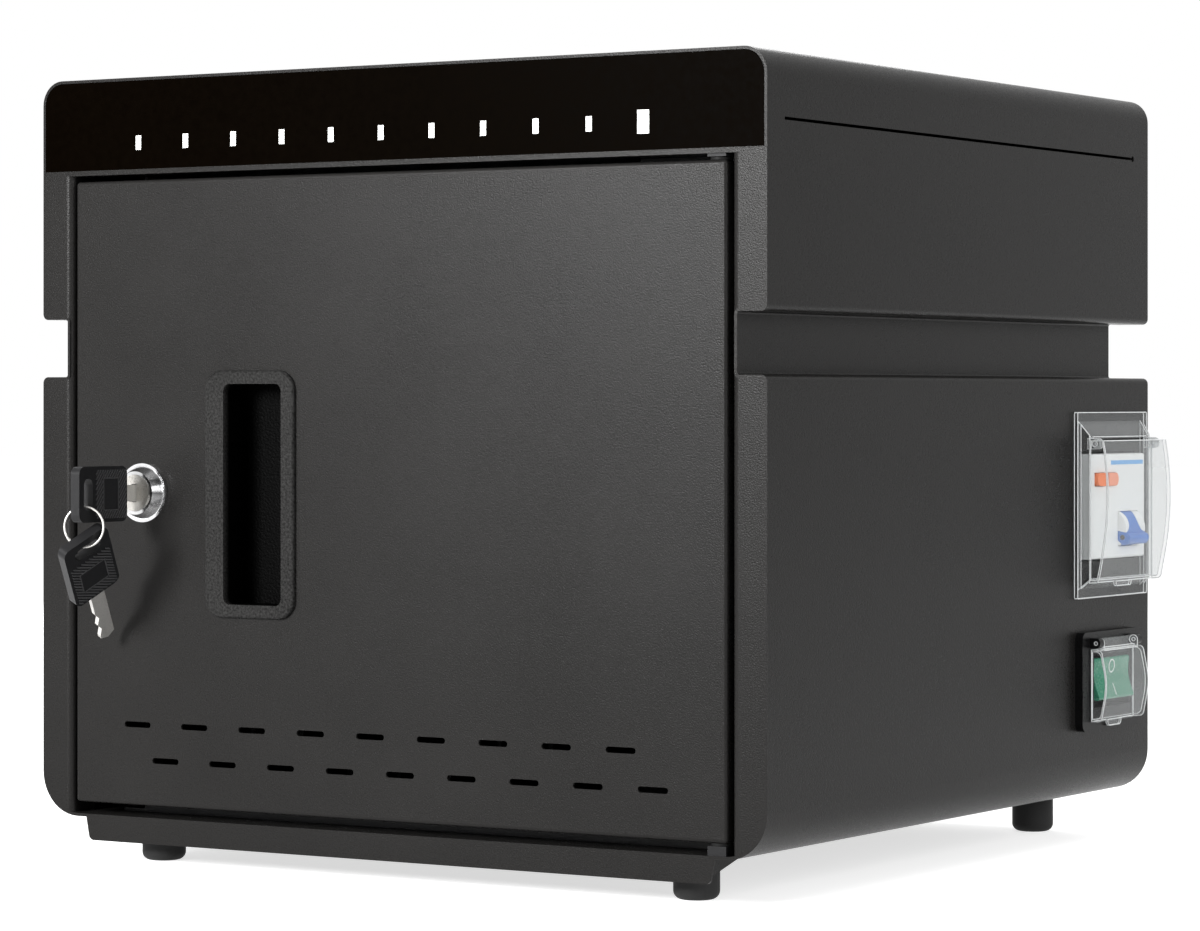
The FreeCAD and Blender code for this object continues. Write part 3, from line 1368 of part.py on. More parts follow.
# Rocker switch: a bezel outside, its housing through the casing's side
switch = new_body("switch")
bezel_face = half + s.switch_proud
pad(switch, "YZ", half, bezel_face,
    rectangle(switch_front, switch_rear, s.switch_bottom, switch_top, s.switch_corner))
pad(switch, "YZ", half - s.switch_body_depth, half,
    rectangle(switch_y - switch_body_half, switch_y + switch_body_half, switch_z - switch_body_rise,
              switch_z + switch_body_rise))
rocker_half = s.rocker_width / 2
rocker_rise = s.rocker_height / 2
well_half = rocker_half + s.rocker_side_play
well_rise = rocker_rise + s.rocker_play
pocket(switch, "YZ", bezel_face - s.rocker_well, bezel_face + s.overrun,
       rectangle(switch_y - well_half, switch_y + well_half, switch_z - well_rise, switch_z + well_rise))
rocker_x = bezel_face - s.rocker_pivot_sink
rocker_pin_end = rocker_half + s.rocker_pin_length
pocket(switch, "XZ", switch_y - rocker_pin_end - s.rocker_side_play, switch_y + rocker_pin_end + s.rocker_side_play,
       Disc(rocker_x, switch_z, s.rocker_pin_radius + s.pin_clearance))
cover_half = s.cover_width / 2
cover_bottom = s.switch_bottom + s.cover_bottom_inset
cover_top = cover_bottom + s.cover_height
cover_axis_z = cover_top + s.cover_axis_lift
cover_axis_x = bezel_face + s.cover_axis_out
cover_front = switch_y - cover_half
cover_rear = switch_y + cover_half
cover_ear_front = cover_front + s.cover_ear_width
cover_ear_rear = cover_rear - s.cover_ear_width
cover_ear_round = s.cover_knuckle * ear_round_share
cover_ears = [
    [(bezel_face - s.switch_proud, cover_axis_z - s.cover_knuckle, None),
     (cover_axis_x + s.cover_knuckle, cover_axis_z - s.cover_knuckle, cover_ear_round),
     (cover_axis_x + s.cover_knuckle, cover_axis_z + s.cover_knuckle, cover_ear_round),
     (bezel_face - s.switch_proud, cover_axis_z + s.cover_knuckle, None)],
    Disc(cover_axis_x, cover_axis_z, s.cover_pin_radius + s.pin_clearance),
]
for low, high in ((cover_front, cover_ear_front), (cover_ear_rear, cover_rear)):
    pad(switch, "XZ", low, high, *cover_ears)
node(switch, "switch_housing")
rocker = new_body("rocker")
rocker_face = s.rocker_pivot_sink + s.rocker_proud
rocker_edge_share = 0.12
rocker_foot_share = 0.55
pad(rocker, "XZ", switch_y - rocker_half, switch_y + rocker_half,
    [(-s.rocker_sink, -rocker_rise * rocker_foot_share, None),
     (rocker_face, -rocker_rise, rocker_rise * rocker_edge_share),
     (rocker_face - s.rocker_dip, ZERO, s.rocker_height),
     (rocker_face, rocker_rise, rocker_rise * rocker_edge_share),
     (-s.rocker_sink, rocker_rise * rocker_foot_share, None)])
pad(rocker, "XZ", switch_y - rocker_pin_end, switch_y + rocker_pin_end, Disc(ZERO, ZERO, s.rocker_pin_radius))
place(rocker, rocker_x, ZERO, switch_z, FreeCAD.Rotation(FreeCAD.Vector(0, 1, 0), ROCKER_REST))
node(rocker, "switch_rocker")
lid = new_body("lid")
cover_foot = bezel_face + s.cover_gap
cover_face = cover_foot + s.cover_rise
cover_mid = cover_bottom + s.cover_height / 2
cover_crown = cover_face + s.cover_bulge


def cover_section(gap):
    """Side view of the bulging cover, set in by a gap."""
    return [(cover_foot - gap, cover_bottom + gap, None), (cover_face - gap, cover_bottom + gap, s.cover_corner),
            (cover_crown - gap, cover_mid, s.cover_height), (cover_face - gap, cover_top - gap, s.cover_corner),
            (cover_foot - gap, cover_top - gap, None)]


pad(lid, "XZ", cover_front, cover_rear, cover_section(ZERO))
pocket(lid, "XZ", cover_front + s.cover_wall, cover_rear - s.cover_wall, cover_section(s.cover_wall))
cover_tab_half = s.cover_tab_width / 2
cover_tab_round = s.cover_tab_drop * ear_round_share
pad(lid, "YZ", cover_foot, cover_foot + s.cover_wall,
    [(switch_y - cover_tab_half, cover_bottom + s.cover_wall, None),
     (switch_y - cover_tab_half, cover_bottom - s.cover_tab_drop, cover_tab_round),
     (switch_y + cover_tab_half, cover_bottom - s.cover_tab_drop, cover_tab_round),
     (switch_y + cover_tab_half, cover_bottom + s.cover_wall, None)])
cover_knuckle_front = cover_ear_front + s.cover_ear_gap
cover_knuckle_rear = cover_ear_rear - s.cover_ear_gap
node(fuse("lid_hinged", lid,
          rod("lid_knuckle", "Y", s.cover_knuckle, cover_knuckle_front, cover_knuckle_rear, cover_axis_x,
              cover_axis_z),
          block("lid_web", cover_axis_x, cover_axis_x + s.cover_knuckle, cover_knuckle_front, cover_knuckle_rear,
                cover_top - s.cover_wall, cover_axis_z),
          rod("lid_pin", "Y", s.cover_pin_radius, cover_front, cover_rear, cover_axis_x, cover_axis_z)),
     "switch_cover")

# Service cover in front of the electrical space
service_right = half - s.bottom_bend
cover_screw_x = (space_left + service_right) / 2
cover_screw_spots = [(cover_screw_x, floor_top + s.cover_screw_inset),
                     (cover_screw_x, shelf_underside - s.cover_screw_inset)]
cover_plate = block("service_sheet", space_left, service_right, bay_front, bay_front + s.sheet, floor_top,
                    shelf_underside)
cover_holes = [rod("service_hole", "Y", s.cover_screw_shank + s.screw_clearance, bay_front - s.overrun,
                   bay_front + s.sheet + s.overrun, x, z) for x, z in cover_screw_spots]
node(cut("service_plate", cover_plate, *cover_holes), "service_cover")
node(screws("service", cover_screw_spots, bay_front, s.cover_screw_head, -s.cover_screw_cap,
            s.cover_screw_shank, -s.cover_screw_length), "service_cover_screws")

# Rubber feet, each held by a screw in its recess
foot_hole_radius = s.foot_screw_shank + s.screw_clearance
foot = lathe("foot",
             [(foot_hole_radius, s.foot_recess, None), (s.foot_recess_radius, s.foot_recess, None),
              (s.foot_recess_radius, ZERO, None), (s.foot_radius, ZERO, s.foot_round),
              (s.foot_radius, base, None), (foot_hole_radius, base, None)])
place(foot, foot_x, foot_y, ZERO)
screw_floor = s.foot_recess - s.foot_screw_cap
foot_screw = lathe("foot_fixing",
                   [(ZERO, screw_floor, None), (s.foot_screw_head, screw_floor, None),
                    (s.foot_screw_head, s.foot_recess, None), (s.foot_screw_shank, s.foot_recess, None),
                    (s.foot_screw_shank, floor_top, None), (ZERO, floor_top, None)])
place(foot_screw, foot_x, foot_y, ZERO)


def four_corners(piece):
    """A piece and its mirror images at the cabinet's other corners."""
    left = mirror(f"{piece.Name}_left", piece, 1, 0)
    near = mirror(f"{piece.Name}_near", piece, 0, 1)
    near_left = mirror(f"{piece.Name}_near_left", left, 0, 1)
    return group(f"{piece.Name}_set", [piece, left, near, near_left])


node(four_corners(foot), "rubber_feet")
node(four_corners(foot_screw), "foot_screws")

# Rebuild, test every piece, then write each one to its own file
doc.recompute()
failed = [item.Label for item in doc.Objects if "Invalid" in item.State or "Error" in item.State]
if failed:
    raise RuntimeError(f"these objects failed to build: {failed}")
for cutter in CUTTING:
    before = cutter.BaseFeature if cutter.TypeId == "PartDesign::Pocket" else cutter.Base
    if cutter.Shape.Volume >= before.Shape.Volume:
        raise RuntimeError(f"{cutter.Label} took nothing away")
for piece in NODES:
    if piece.Shape.isNull() or not piece.Shape.isValid() or not piece.Shape.Solids:
        raise RuntimeError(f"{piece.Label} has no sound solid")
os.makedirs("parts", exist_ok=True)
for piece in NODES:
    piece.Shape.exportStep(f"parts/{piece.Label}.step")
    print(piece.Label, len(piece.Shape.Solids), round(piece.Shape.Volume, 1))
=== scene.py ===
import math

import bmesh
import bpy
from mathutils import Euler, Matrix, Vector


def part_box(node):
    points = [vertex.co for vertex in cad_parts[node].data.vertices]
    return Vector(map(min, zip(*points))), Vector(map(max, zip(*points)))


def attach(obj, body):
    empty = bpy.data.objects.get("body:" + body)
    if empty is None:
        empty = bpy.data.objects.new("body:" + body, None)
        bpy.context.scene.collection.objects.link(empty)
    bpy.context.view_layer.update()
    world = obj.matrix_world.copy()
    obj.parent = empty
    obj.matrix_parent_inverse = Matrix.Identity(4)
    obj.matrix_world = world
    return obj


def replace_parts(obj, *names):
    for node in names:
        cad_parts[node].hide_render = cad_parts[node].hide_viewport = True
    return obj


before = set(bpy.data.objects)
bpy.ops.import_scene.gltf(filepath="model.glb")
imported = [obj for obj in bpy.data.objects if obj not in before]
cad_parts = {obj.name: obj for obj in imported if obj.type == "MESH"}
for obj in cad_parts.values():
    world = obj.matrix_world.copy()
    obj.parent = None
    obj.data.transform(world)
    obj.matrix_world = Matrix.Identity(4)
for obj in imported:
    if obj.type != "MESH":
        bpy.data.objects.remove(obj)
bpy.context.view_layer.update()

# Casing: shell, stiles, shelf lip, base pan and back panel.
# Folded sheet steel, sprayed with a charcoal powder that cures to a fine pebbled skin,
# so the colour, the gloss and the surface height all vary by a fraction of a millimetre.


def add(tree, kind, values=None, feeds=None, **settings):
    """A new shader node: its settings are made first, then its input values and what feeds it."""
    node = tree.nodes.new(kind)
    for setting, choice in settings.items():
        setattr(node, setting, choice)
    for socket, value in (values or {}).items():
        node.inputs[socket].default_value = value
    for socket, source in (feeds or {}).items():
        tree.links.new(source, node.inputs[socket])
    return node


def grained(name, colour, rough, spread, grain_mm, height_mm, metal=0.0, specular=0.5,
            stretch=(1, 1, 1)):
    """A finish with grain of one size: colour and gloss vary with it, and it is felt as bump."""
    cloud_scale, grain_share, cloud_share = 18.0, 0.75, 0.25
    noise_low, noise_high, gloss_swing = 0.3, 0.7, 0.06
    finish = bpy.data.materials.new(name)
    finish.use_nodes = True
    tree = finish.node_tree
    place = add(tree, "ShaderNodeTexCoord").outputs["Object"]
    lay = add(tree, "ShaderNodeMapping", {"Scale": stretch}, {"Vector": place})
    grain = add(tree, "ShaderNodeTexNoise", {"Scale": 1000.0 / grain_mm, "Detail": 2.0},
                {"Vector": lay.outputs["Vector"]}).outputs["Fac"]
    cloud = add(tree, "ShaderNodeTexNoise", {"Scale": cloud_scale, "Detail": 3.0},
                {"Vector": place}).outputs["Fac"]
    cloud_part = add(tree, "ShaderNodeMath", {1: cloud_share}, {0: cloud}, operation="MULTIPLY")
    mottle = add(tree, "ShaderNodeMath", {1: grain_share}, {0: grain, 2: cloud_part.outputs[0]},
                 operation="MULTIPLY_ADD").outputs[0]
    tone = add(tree, "ShaderNodeValToRGB", feeds={"Fac": mottle})
    dark, light = tone.color_ramp.elements
    dark.position, light.position = noise_low, noise_high
    dark.color = [c * (1 - spread) for c in colour] + [1]
    light.color = [min(1.0, c * (1 + spread)) for c in colour] + [1]
    gloss = add(tree, "ShaderNodeMapRange",
                {"From Min": noise_low, "From Max": noise_high,
                 "To Min": max(0.02, rough - gloss_swing),
                 "To Max": min(1.0, rough + gloss_swing)}, {"Value": mottle})
    relief = add(tree, "ShaderNodeBump", {"Strength": 0.6, "Distance": height_mm / 1000.0},
                 {"Height": grain})
    skin = tree.nodes["Principled BSDF"].inputs
    skin["Metallic"].default_value = metal
    skin["Specular IOR Level"].default_value = specular
    tree.links.new(tone.outputs["Color"], skin["Base Color"])
    tree.links.new(gloss.outputs["Result"], skin["Roughness"])
    tree.links.new(relief.outputs["Normal"], skin["Normal"])
    return finish


def dress(finish, *names):
    """Gives a finish to pieces of the frame."""
    for name in names:
        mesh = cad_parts[name].data
        mesh.materials.clear()
        mesh.materials.append(finish)


charcoal_coat = grained("charcoal_coat", colour=(0.0092, 0.0088, 0.0085), rough=0.30, spread=0.28,
                        grain_mm=0.58, height_mm=0.18, specular=0.068)
dress(charcoal_coat, "cabinet_shell", "left_stile", "right_stile", "electronics_shelf",
      "base_pan", "back_panel")

# Feet under the base pan.
# Moulded black rubber with a rounded tread, each held by a zinc screw up its middle.
foot_rubber = grained("foot_rubber", colour=(0.013, 0.013, 0.013), rough=0.75, spread=0.3,
                      grain_mm=1.6, height_mm=0.08, specular=0.3)
zinc_steel = grained("zinc_steel", colour=(0.55, 0.56, 0.57), rough=0.32, spread=0.08,
                     grain_mm=1.2, height_mm=0.01, metal=1.0, stretch=(1, 1, 0.1))
dress(foot_rubber, "rubber_feet")
dress(zinc_steel, "foot_screws")

# Back panel fixings and mains inlet.
# Zinc plated steel screws with a cross recess in each flat head;
# the inlet is a black moulding with three brass pins, screwed to the panel.
inlet_plastic = grained("inlet_plastic", colour=(0.014, 0.014, 0.014), rough=0.5, spread=0.2,
                        grain_mm=0.7, height_mm=0.04)
brass_pin = grained("brass_pin", colour=(0.72, 0.55, 0.28), rough=0.25, spread=0.06,
                    grain_mm=0.8, height_mm=0.01, metal=1.0)
# Painted shade: a dark metal put in each screw's cross recess and in the lever's pin hole, where
# shade falls.
recess_painted_shade = grained("recess_painted_shade", colour=(0.03, 0.03, 0.03), rough=0.6, spread=0.2,
                      grain_mm=0.5, height_mm=0.01, metal=0.6)
dress(zinc_steel, "back_panel_screws", "inlet_screws")
dress(inlet_plastic, "mains_inlet")
dress(brass_pin, "inlet_pins")


def keep(name, shape, finish, body):
    """Stores a finished mesh as a piece that rides on a body."""
    mesh = bpy.data.meshes.new(name)
    bmesh.ops.recalc_face_normals(shape, faces=shape.faces)
    shape.to_mesh(mesh)
    shape.free()
    mesh.materials.append(finish)
    piece = bpy.data.objects.new(name, mesh)
    bpy.context.scene.collection.objects.link(piece)
    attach(piece, body)
    return piece


def join(shape, row, following):
    """The faces between two rows of points that each close on themselves."""
    count = len(row)
    return [shape.faces.new((row[m], row[(m + 1) % count],
                             following[(m + 1) % count], following[m])) for m in range(count)]


def bar(shape, corners, low, high, turn=Matrix()):
    """A prism on an outline of (Y, Z) points, between two levels of X, put in place by a turn."""
    first, last = ([shape.verts.new(turn @ Vector((x, y, z))) for y, z in corners]
                   for x in (low, high))
    shape.faces.new(first[::-1])
    shape.faces.new(last)
    join(shape, first, last)


def oblong(y0, y1, z0, z1):
    """Corners of an upright rectangle."""
    return [(y0, z0), (y1, z0), (y1, z1), (y0, z1)]


def cross_recesses(name, node, head, columns, rows, facing):
    """The cross in each head of a set of screws, spread evenly over the set's own box.

    The head is given by its radius; the set faces the back (1) or the front (-1).
    """
    # Each cross is a dark solid mark sunk into the head, painted shade for the hollow of the
    # recess.
    long_side, short_side = 0.6 * head, 0.14 * head
    proud, deep = 0.00002, 0.0002
    low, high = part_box(node)
    face = high.y if facing > 0 else low.y
    recesses = bmesh.new()
    for column in range(columns):
        for row in range(rows):
            x = low.x + head + (high.x - low.x - 2 * head) * (column / max(1, columns - 1))
            z = low.z + head + (high.z - low.z - 2 * head) * (row / max(1, rows - 1))
            seat = Matrix.Translation((x, face, z)) @ Matrix.Rotation(math.radians(90), 4, "Z")
            for wide, tall in ((long_side, short_side), (short_side, long_side)):
                bar(recesses, oblong(-wide, wide, -tall, tall), proud * facing, -deep * facing,
                    seat)
    keep(name, recesses, recess_painted_shade, "cabinet")


cross_recesses("panel_screw_recesses", "back_panel_screws", head=0.0035, columns=3, rows=2,
               facing=1)
cross_recesses("inlet_screw_recesses", "inlet_screws", head=0.0030, columns=2, rows=1, facing=1)

# Fascia and its row of lights.
# A gloss black moulding let into the casing; each window is a frosted light pipe,
# with a lamp behind it on a circuit board that a zinc plated bracket carries.
gloss_black = grained("gloss_black", colour=(0.0009, 0.0005, 0.0002), rough=0.35, spread=0.15,
                      grain_mm=3.0, height_mm=0.004, specular=0.002)
light_window = grained("light_window", colour=(0.62, 0.63, 0.61), rough=0.38, spread=0.06,
                       grain_mm=0.6, height_mm=0.02)
lamp_body = grained("lamp", colour=(0.85, 0.82, 0.60), rough=0.3, spread=0.05,
                    grain_mm=0.5, height_mm=0.01)
circuit_board = grained("circuit_board", colour=(0.02, 0.16, 0.07), rough=0.35, spread=0.35,
                        grain_mm=2.2, height_mm=0.03)
dress(gloss_black, "front_panel")
dress(light_window, "port_light_windows", "power_light_window")
dress(lamp_body, "indicator_lamps")
dress(circuit_board, "indicator_board")
dress(zinc_steel, "indicator_bracket")

# Bays, their sockets, the power supply and the sheet in front of the electrical space.
# Coated steel walls with a moulded black tray, combs and dividers between the devices;
# the sockets sit on a board on standoffs, and the supply has an aluminium case.
inner_coat = grained("inner_coat", colour=(0.022, 0.022, 0.022), rough=0.5, spread=0.2,
                     grain_mm=0.9, height_mm=0.06, specular=0.2)
bay_plastic = grained("bay_plastic", colour=(0.016, 0.016, 0.017), rough=0.5, spread=0.2,
                      grain_mm=0.7, height_mm=0.04, specular=0.2)
port_metal = grained("port_metal", colour=(0.55, 0.55, 0.56), rough=0.28, spread=0.05,
                     grain_mm=0.6, height_mm=0.01, metal=1.0)
aluminium_case = grained("aluminium_case", colour=(0.72, 0.73, 0.74), rough=0.35, spread=0.06,
                         grain_mm=1.0, height_mm=0.02, metal=1.0, stretch=(1, 0.1, 1))
dress(inner_coat, "left_liner", "partition_wall", "bay_rear_wall", "service_cover")
dress(bay_plastic, "bay_floor", "divider_rails", "bay_dividers")
dress(port_metal, "usb_c_ports")
dress(circuit_board, "charging_board")
dress(aluminium_case, "power_supply")
dress(zinc_steel, "service_cover_screws", "board_standoffs", "din_rail")
cross_recesses("service_screw_recesses", "service_cover_screws", head=0.0032, columns=1, rows=2,
               facing=-1)

# Door, its pull and its pivots.
# A folded steel tray in the casing's coat, with a coarsely grained black moulding snapped in,
# whose cup darkens with depth as painted shade; black bushes in the door turn on steel pins with a
# black zinc finish.
black_plastic = grained("black_plastic", colour=(0.0148, 0.0146, 0.0143), rough=0.5, spread=0.7,
                        grain_mm=1.0, height_mm=0.40, specular=0.02)
bearing_plastic = grained("bearing_plastic", colour=(0.008, 0.008, 0.008), rough=0.5, spread=0.1,
                          grain_mm=0.7, height_mm=0.02, specular=0.05)
black_zinc = grained("black_zinc", colour=(0.008, 0.008, 0.0085), rough=0.45, spread=0.2,
                     grain_mm=0.8, height_mm=0.02, specular=0.1)
# Painted shade: the pull's base colour goes to near black with depth into its cup, behind the rim
# face.
cup_painted_shade, cup_shade_starts, cup_shade_darkest = (0.0001, 0.0001, 0.0001, 1), 0.0008, 0.0040
rim_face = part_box("door_pull")[0].y
pull_tree = black_plastic.node_tree
pull_colour = pull_tree.nodes["Principled BSDF"].inputs["Base Color"]
pull_place = add(pull_tree, "ShaderNodeTexCoord").outputs["Object"]
pull_axes = add(pull_tree, "ShaderNodeSeparateXYZ", feeds={"Vector": pull_place})
pull_shade_depth = add(pull_tree, "ShaderNodeMapRange",
                 {"From Min": rim_face + cup_shade_starts, "From Max": rim_face + cup_shade_darkest},
                 {"Value": pull_axes.outputs["Y"]})
pull_painted_shade = add(pull_tree, "ShaderNodeMix", {"B": cup_painted_shade},
                 {"Factor": pull_shade_depth.outputs["Result"], "A": pull_colour.links[0].from_socket},
                 data_type="RGBA")
pull_tree.links.new(pull_painted_shade.outputs["Result"], pull_colour)
dress(charcoal_coat, "door_panel")
dress(black_plastic, "door_pull")
dress(bearing_plastic, "hinge_bushes")
dress(black_zinc, "hinge_brackets", "hinge_pins")

# Cam lock.
# A turned and polished chrome body with a dished nose and a bright rim, a satin nickel plug,
# and behind the door a zinc plated nut, cam and screw. The dish carries painted reflection bands,
# light and dark streaks swept round the lock's axis, while the rim keeps an even chrome tone.
lock_chrome = grained("lock_chrome", colour=(0.80, 0.80, 0.81), rough=0.15, spread=0.02,
                      grain_mm=1.5, height_mm=0.0005, metal=1.0)
satin_nickel = grained("satin_nickel", colour=(0.33, 0.32, 0.30), rough=0.32, spread=0.12,
                       grain_mm=0.5, height_mm=0.02, metal=1.0)
# Painted reflection bands: grey levels round the dish's axis that stand in for reflections in the
# turned chrome.
painted_reflection_bands = ((0.0, 0.75), (0.10, 0.10), (0.18, 0.80), (0.40, 0.55), (0.50, 0.12),
                (0.58, 0.75), (0.80, 0.85), (0.90, 0.15), (0.96, 0.75))
reflection_band_blue, rim_chrome = 1.01, (0.86, 0.86, 0.87, 1)
dish_edge, rim_starts = 0.0106, 0.0110
lock_low, lock_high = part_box("lock_body")
lock_axis = (lock_low + lock_high) / 2
chrome_tree = lock_chrome.node_tree
turned = add(chrome_tree, "ShaderNodeTexCoord").outputs["Object"]
centred = add(chrome_tree, "ShaderNodeMapping",
              {"Location": (-lock_axis.x, lock_axis.z, 0), "Rotation": (math.radians(90), 0, 0)},
              {"Vector": turned}).outputs["Vector"]
reflection_sweep = add(chrome_tree, "ShaderNodeTexGradient", feeds={"Vector": centred},
            gradient_type="RADIAL")
reflection_bands = add(chrome_tree, "ShaderNodeValToRGB", feeds={"Fac": reflection_sweep.outputs["Fac"]})
for place, level in painted_reflection_bands:
    reflection_bands.color_ramp.elements.new(place).color = (level, level, level * reflection_band_blue, 1)
flat_place = add(chrome_tree, "ShaderNodeVectorMath", {1: (1, 1, 0)}, {0: centred},
                 operation="MULTIPLY")
from_axis = add(chrome_tree, "ShaderNodeVectorMath", feeds={0: flat_place.outputs["Vector"]},
                operation="LENGTH")
on_rim = add(chrome_tree, "ShaderNodeMapRange", {"From Min": dish_edge, "From Max": rim_starts},
             {"Value": from_axis.outputs["Value"]})
rim_bright = add(chrome_tree, "ShaderNodeMix", {"B": rim_chrome},
                 {"Factor": on_rim.outputs["Result"], "A": reflection_bands.outputs["Color"]},
                 data_type="RGBA")
chrome_tree.links.new(rim_bright.outputs["Result"],
                      chrome_tree.nodes["Principled BSDF"].inputs["Base Color"])
dress(lock_chrome, "lock_body")
dress(satin_nickel, "lock_plug")
dress(zinc_steel, "lock_nut", "lock_cam", "cam_screw")

# Keys.
# Black plastic heads moulded on nickelled blades,
# and hatched with slanting ribs round a plain panel on both faces; the ribs are drawn lighter than
# the head, a painted highlight where they catch the light.
nickel = grained("nickel", colour=(0.46, 0.45, 0.43), rough=0.36, spread=0.12,
                 grain_mm=0.5, height_mm=0.02, metal=0.75)
key_plastic = grained("key_plastic", colour=(0.007, 0.007, 0.0075), rough=0.42, spread=0.2,
                      grain_mm=0.6, height_mm=0.03, specular=0.15)
# Painted highlight: the same black plastic as the head, made lighter so that the raised ribs read
# as lit.
rib_painted_highlight = grained("rib_painted_highlight", colour=(0.035, 0.035, 0.036), rough=0.35, spread=0.2,
                      grain_mm=0.6, height_mm=0.02, specular=0.3)
dress(key_plastic, "key_head", "spare_key_head")
dress(nickel, "key_blade", "spare_key_blade")


def clip(line, box):
    """The stretch of a slanting line inside a box of (Y, Z), or nothing."""
    shortest = 0.02
    (y0, z0), (y1, z1) = line
    start, end = 0.0, 1.0
    for a, b, low, high in ((y0, y1, box[0], box[1]), (z0, z1, box[2], box[3])):
        first, last = sorted(((low - a) / (b - a), (high - a) / (b - a)))
        start, end = max(start, first), min(end, last)
    if end - start < shortest:
        return None
    return [(y0 + (y1 - y0) * t, z0 + (z1 - z0) * t) for t in (start, end)]


def hatch(name, turn, body):
    """Slanting ribs round a plain panel on both faces of a key head, in the key's own axes."""
    face, rise, rib, pitch = 0.0022, 0.00035, 0.00036, 0.00155
    first_rib, last_rib, lean, reach = -0.040, 0.070, 0.024, 0.016
    near, far, edge = 0.0105, 0.0296, 0.0098
    panel_near, panel_far, panel_edge, border = 0.0150, 0.0248, 0.0066, 0.0004
    fields = ((near, panel_near, -edge, edge), (panel_far, far, -edge, edge),
              (panel_near, panel_far, panel_edge, edge),
              (panel_near, panel_far, -edge, -panel_edge))
    inner_near, inner_far, inner_edge = panel_near + border, panel_far - border, panel_edge - border
    borders = ((panel_near, inner_near, -panel_edge, panel_edge),
               (inner_far, panel_far, -panel_edge, panel_edge),
               (inner_near, inner_far, inner_edge, panel_edge),
               (inner_near, inner_far, -panel_edge, -inner_edge))
    ribs = bmesh.new()
    for side in (1, -1):
        low, high = sorted((face * side, (face + rise) * side))
        for field in fields:
            offset = first_rib
            while offset < last_rib:
                line = clip(((offset, -reach), (offset + lean, reach)), field)
                if line:
                    (ya, za), (yb, zb) = line
                    bar(ribs, [(ya - rib, za), (ya + rib, za), (yb + rib, zb), (yb - rib, zb)],
                        low, high, turn)
                offset += pitch
        for border_box in borders:
            bar(ribs, oblong(*border_box), low, high, turn)
    keep(name, ribs, rib_painted_highlight, body)


key_low, key_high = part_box("key_head")
key_seat = Matrix.Translation(((key_low.x + key_high.x) / 2, key_low.y,
                               (key_low.z + key_high.z) / 2))
hatch("key_hatching", key_seat, "lock")

# Key ring.
# Hardened steel wire, nickelled and coiled twice round, so two strands lie side by side
# with a seam between them. It threads the eye of each key and hangs by its own weight.


def circle(radius, steps):
    """Points round a circle."""
    return [(radius * math.cos(math.tau * k / steps), radius * math.sin(math.tau * k / steps))
            for k in range(steps)]


ring_steps, wire_steps = 96, 24
ring_wire, ring_turn = 0.0009, math.radians(22.0)
strand, spacing = 0.00044, 0.00024
ring_low, ring_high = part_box("key_ring")
ring_centre = (ring_low + ring_high) / 2
ring_radius = (ring_high.z - ring_low.z) / 2 - ring_wire
ring_across = Vector((math.cos(ring_turn), math.sin(ring_turn), 0))
ring_normal = Vector((-math.sin(ring_turn), math.cos(ring_turn), 0))
split_ring = bmesh.new()
ring_rows = []
for right, up in circle(1.0, ring_steps):
    outward = ring_across * right + Vector((0, 0, up))
    row = []
    for across, out in circle(1.0, wire_steps):
        reach = spacing * abs(across) + math.sqrt(strand ** 2 - (spacing * out) ** 2)
        row.append(split_ring.verts.new(ring_centre + outward * (ring_radius + reach * out)
                                        + ring_normal * (reach * across)))
    ring_rows.append(row)
for row, following in zip(ring_rows, ring_rows[1:] + ring_rows[:1]):
    for face in join(split_ring, row, following):
        face.smooth = True
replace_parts(keep("split_ring", split_ring, nickel, "ring"), "key_ring")

# Spare key.
# The same moulded head as the first, hanging on the ring by its eye.
hang_angles, eye_from_end = (-54.9, 25.5, -8.2), 0.0054
spare_turn = Euler([math.radians(a) for a in hang_angles], "XYZ").to_matrix().to_4x4()
hang_point = Vector((ring_centre.x, ring_centre.y, ring_low.z + ring_wire))
spare_seat = Matrix.Translation(hang_point - spare_turn @ Vector((0, eye_from_end, 0))) @ spare_turn
hatch("spare_key_hatching", spare_seat, "spare_key")

# Circuit breaker.
# A white moulded case with a blue line printed along its top, a blue lever with a pin hole
# in its finger bar, and two orange buttons; the case clips on a rail.
breaker_white = grained("breaker_white", colour=(0.80, 0.81, 0.81), rough=0.42, spread=0.03,
                        grain_mm=0.8, height_mm=0.02)
lever_blue = grained("lever_blue", colour=(0.006, 0.135, 0.52), rough=0.35, spread=0.08,
                     grain_mm=0.8, height_mm=0.02)
button_orange = grained("button_orange", colour=(0.86, 0.24, 0.10), rough=0.4, spread=0.06,
                        grain_mm=0.7, height_mm=0.02)
line_blue = grained("line_blue", colour=(0.10, 0.36, 0.72), rough=0.45, spread=0.05,
                    grain_mm=0.7, height_mm=0.005)
dress(breaker_white, "breaker_body")
dress(lever_blue, "breaker_lever")
dress(button_orange, "test_button", "reset_button")
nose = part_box("breaker_body")[1].x
line_print = 0.00006
line_outline = oblong(y0=0.1207, y1=0.1535, z0=0.1623, z1=0.1641)
blue_line = bmesh.new()
bar(blue_line, line_outline, nose, nose + line_print)
keep("breaker_line", blue_line, line_blue, "cabinet")
pivot_depth, pivot_height, lever_rest = 0.0048, 0.1345, math.radians(28.0)
dimple_reach, dimple_radius, dimple_proud, dimple_deep = 0.0078, 0.0011, 0.00004, 0.0004
quarter_turn = Matrix.Rotation(math.radians(90), 4, "Z")
lever_pivot = Vector((nose - pivot_depth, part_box("breaker_lever")[0].y, pivot_height))
lever_turn = Matrix.Translation(lever_pivot) @ Matrix.Rotation(lever_rest, 4, "Y")
dimple_seat = lever_turn @ Matrix.Translation((dimple_reach, 0, 0)) @ quarter_turn
# The pin hole is a dark disc of painted shade, a hair proud of the finger bar.
dimple = bmesh.new()
bar(dimple, circle(dimple_radius, 16), -dimple_proud, dimple_deep, dimple_seat)
keep("lever_dimple", dimple, recess_painted_shade, "breaker_lever")

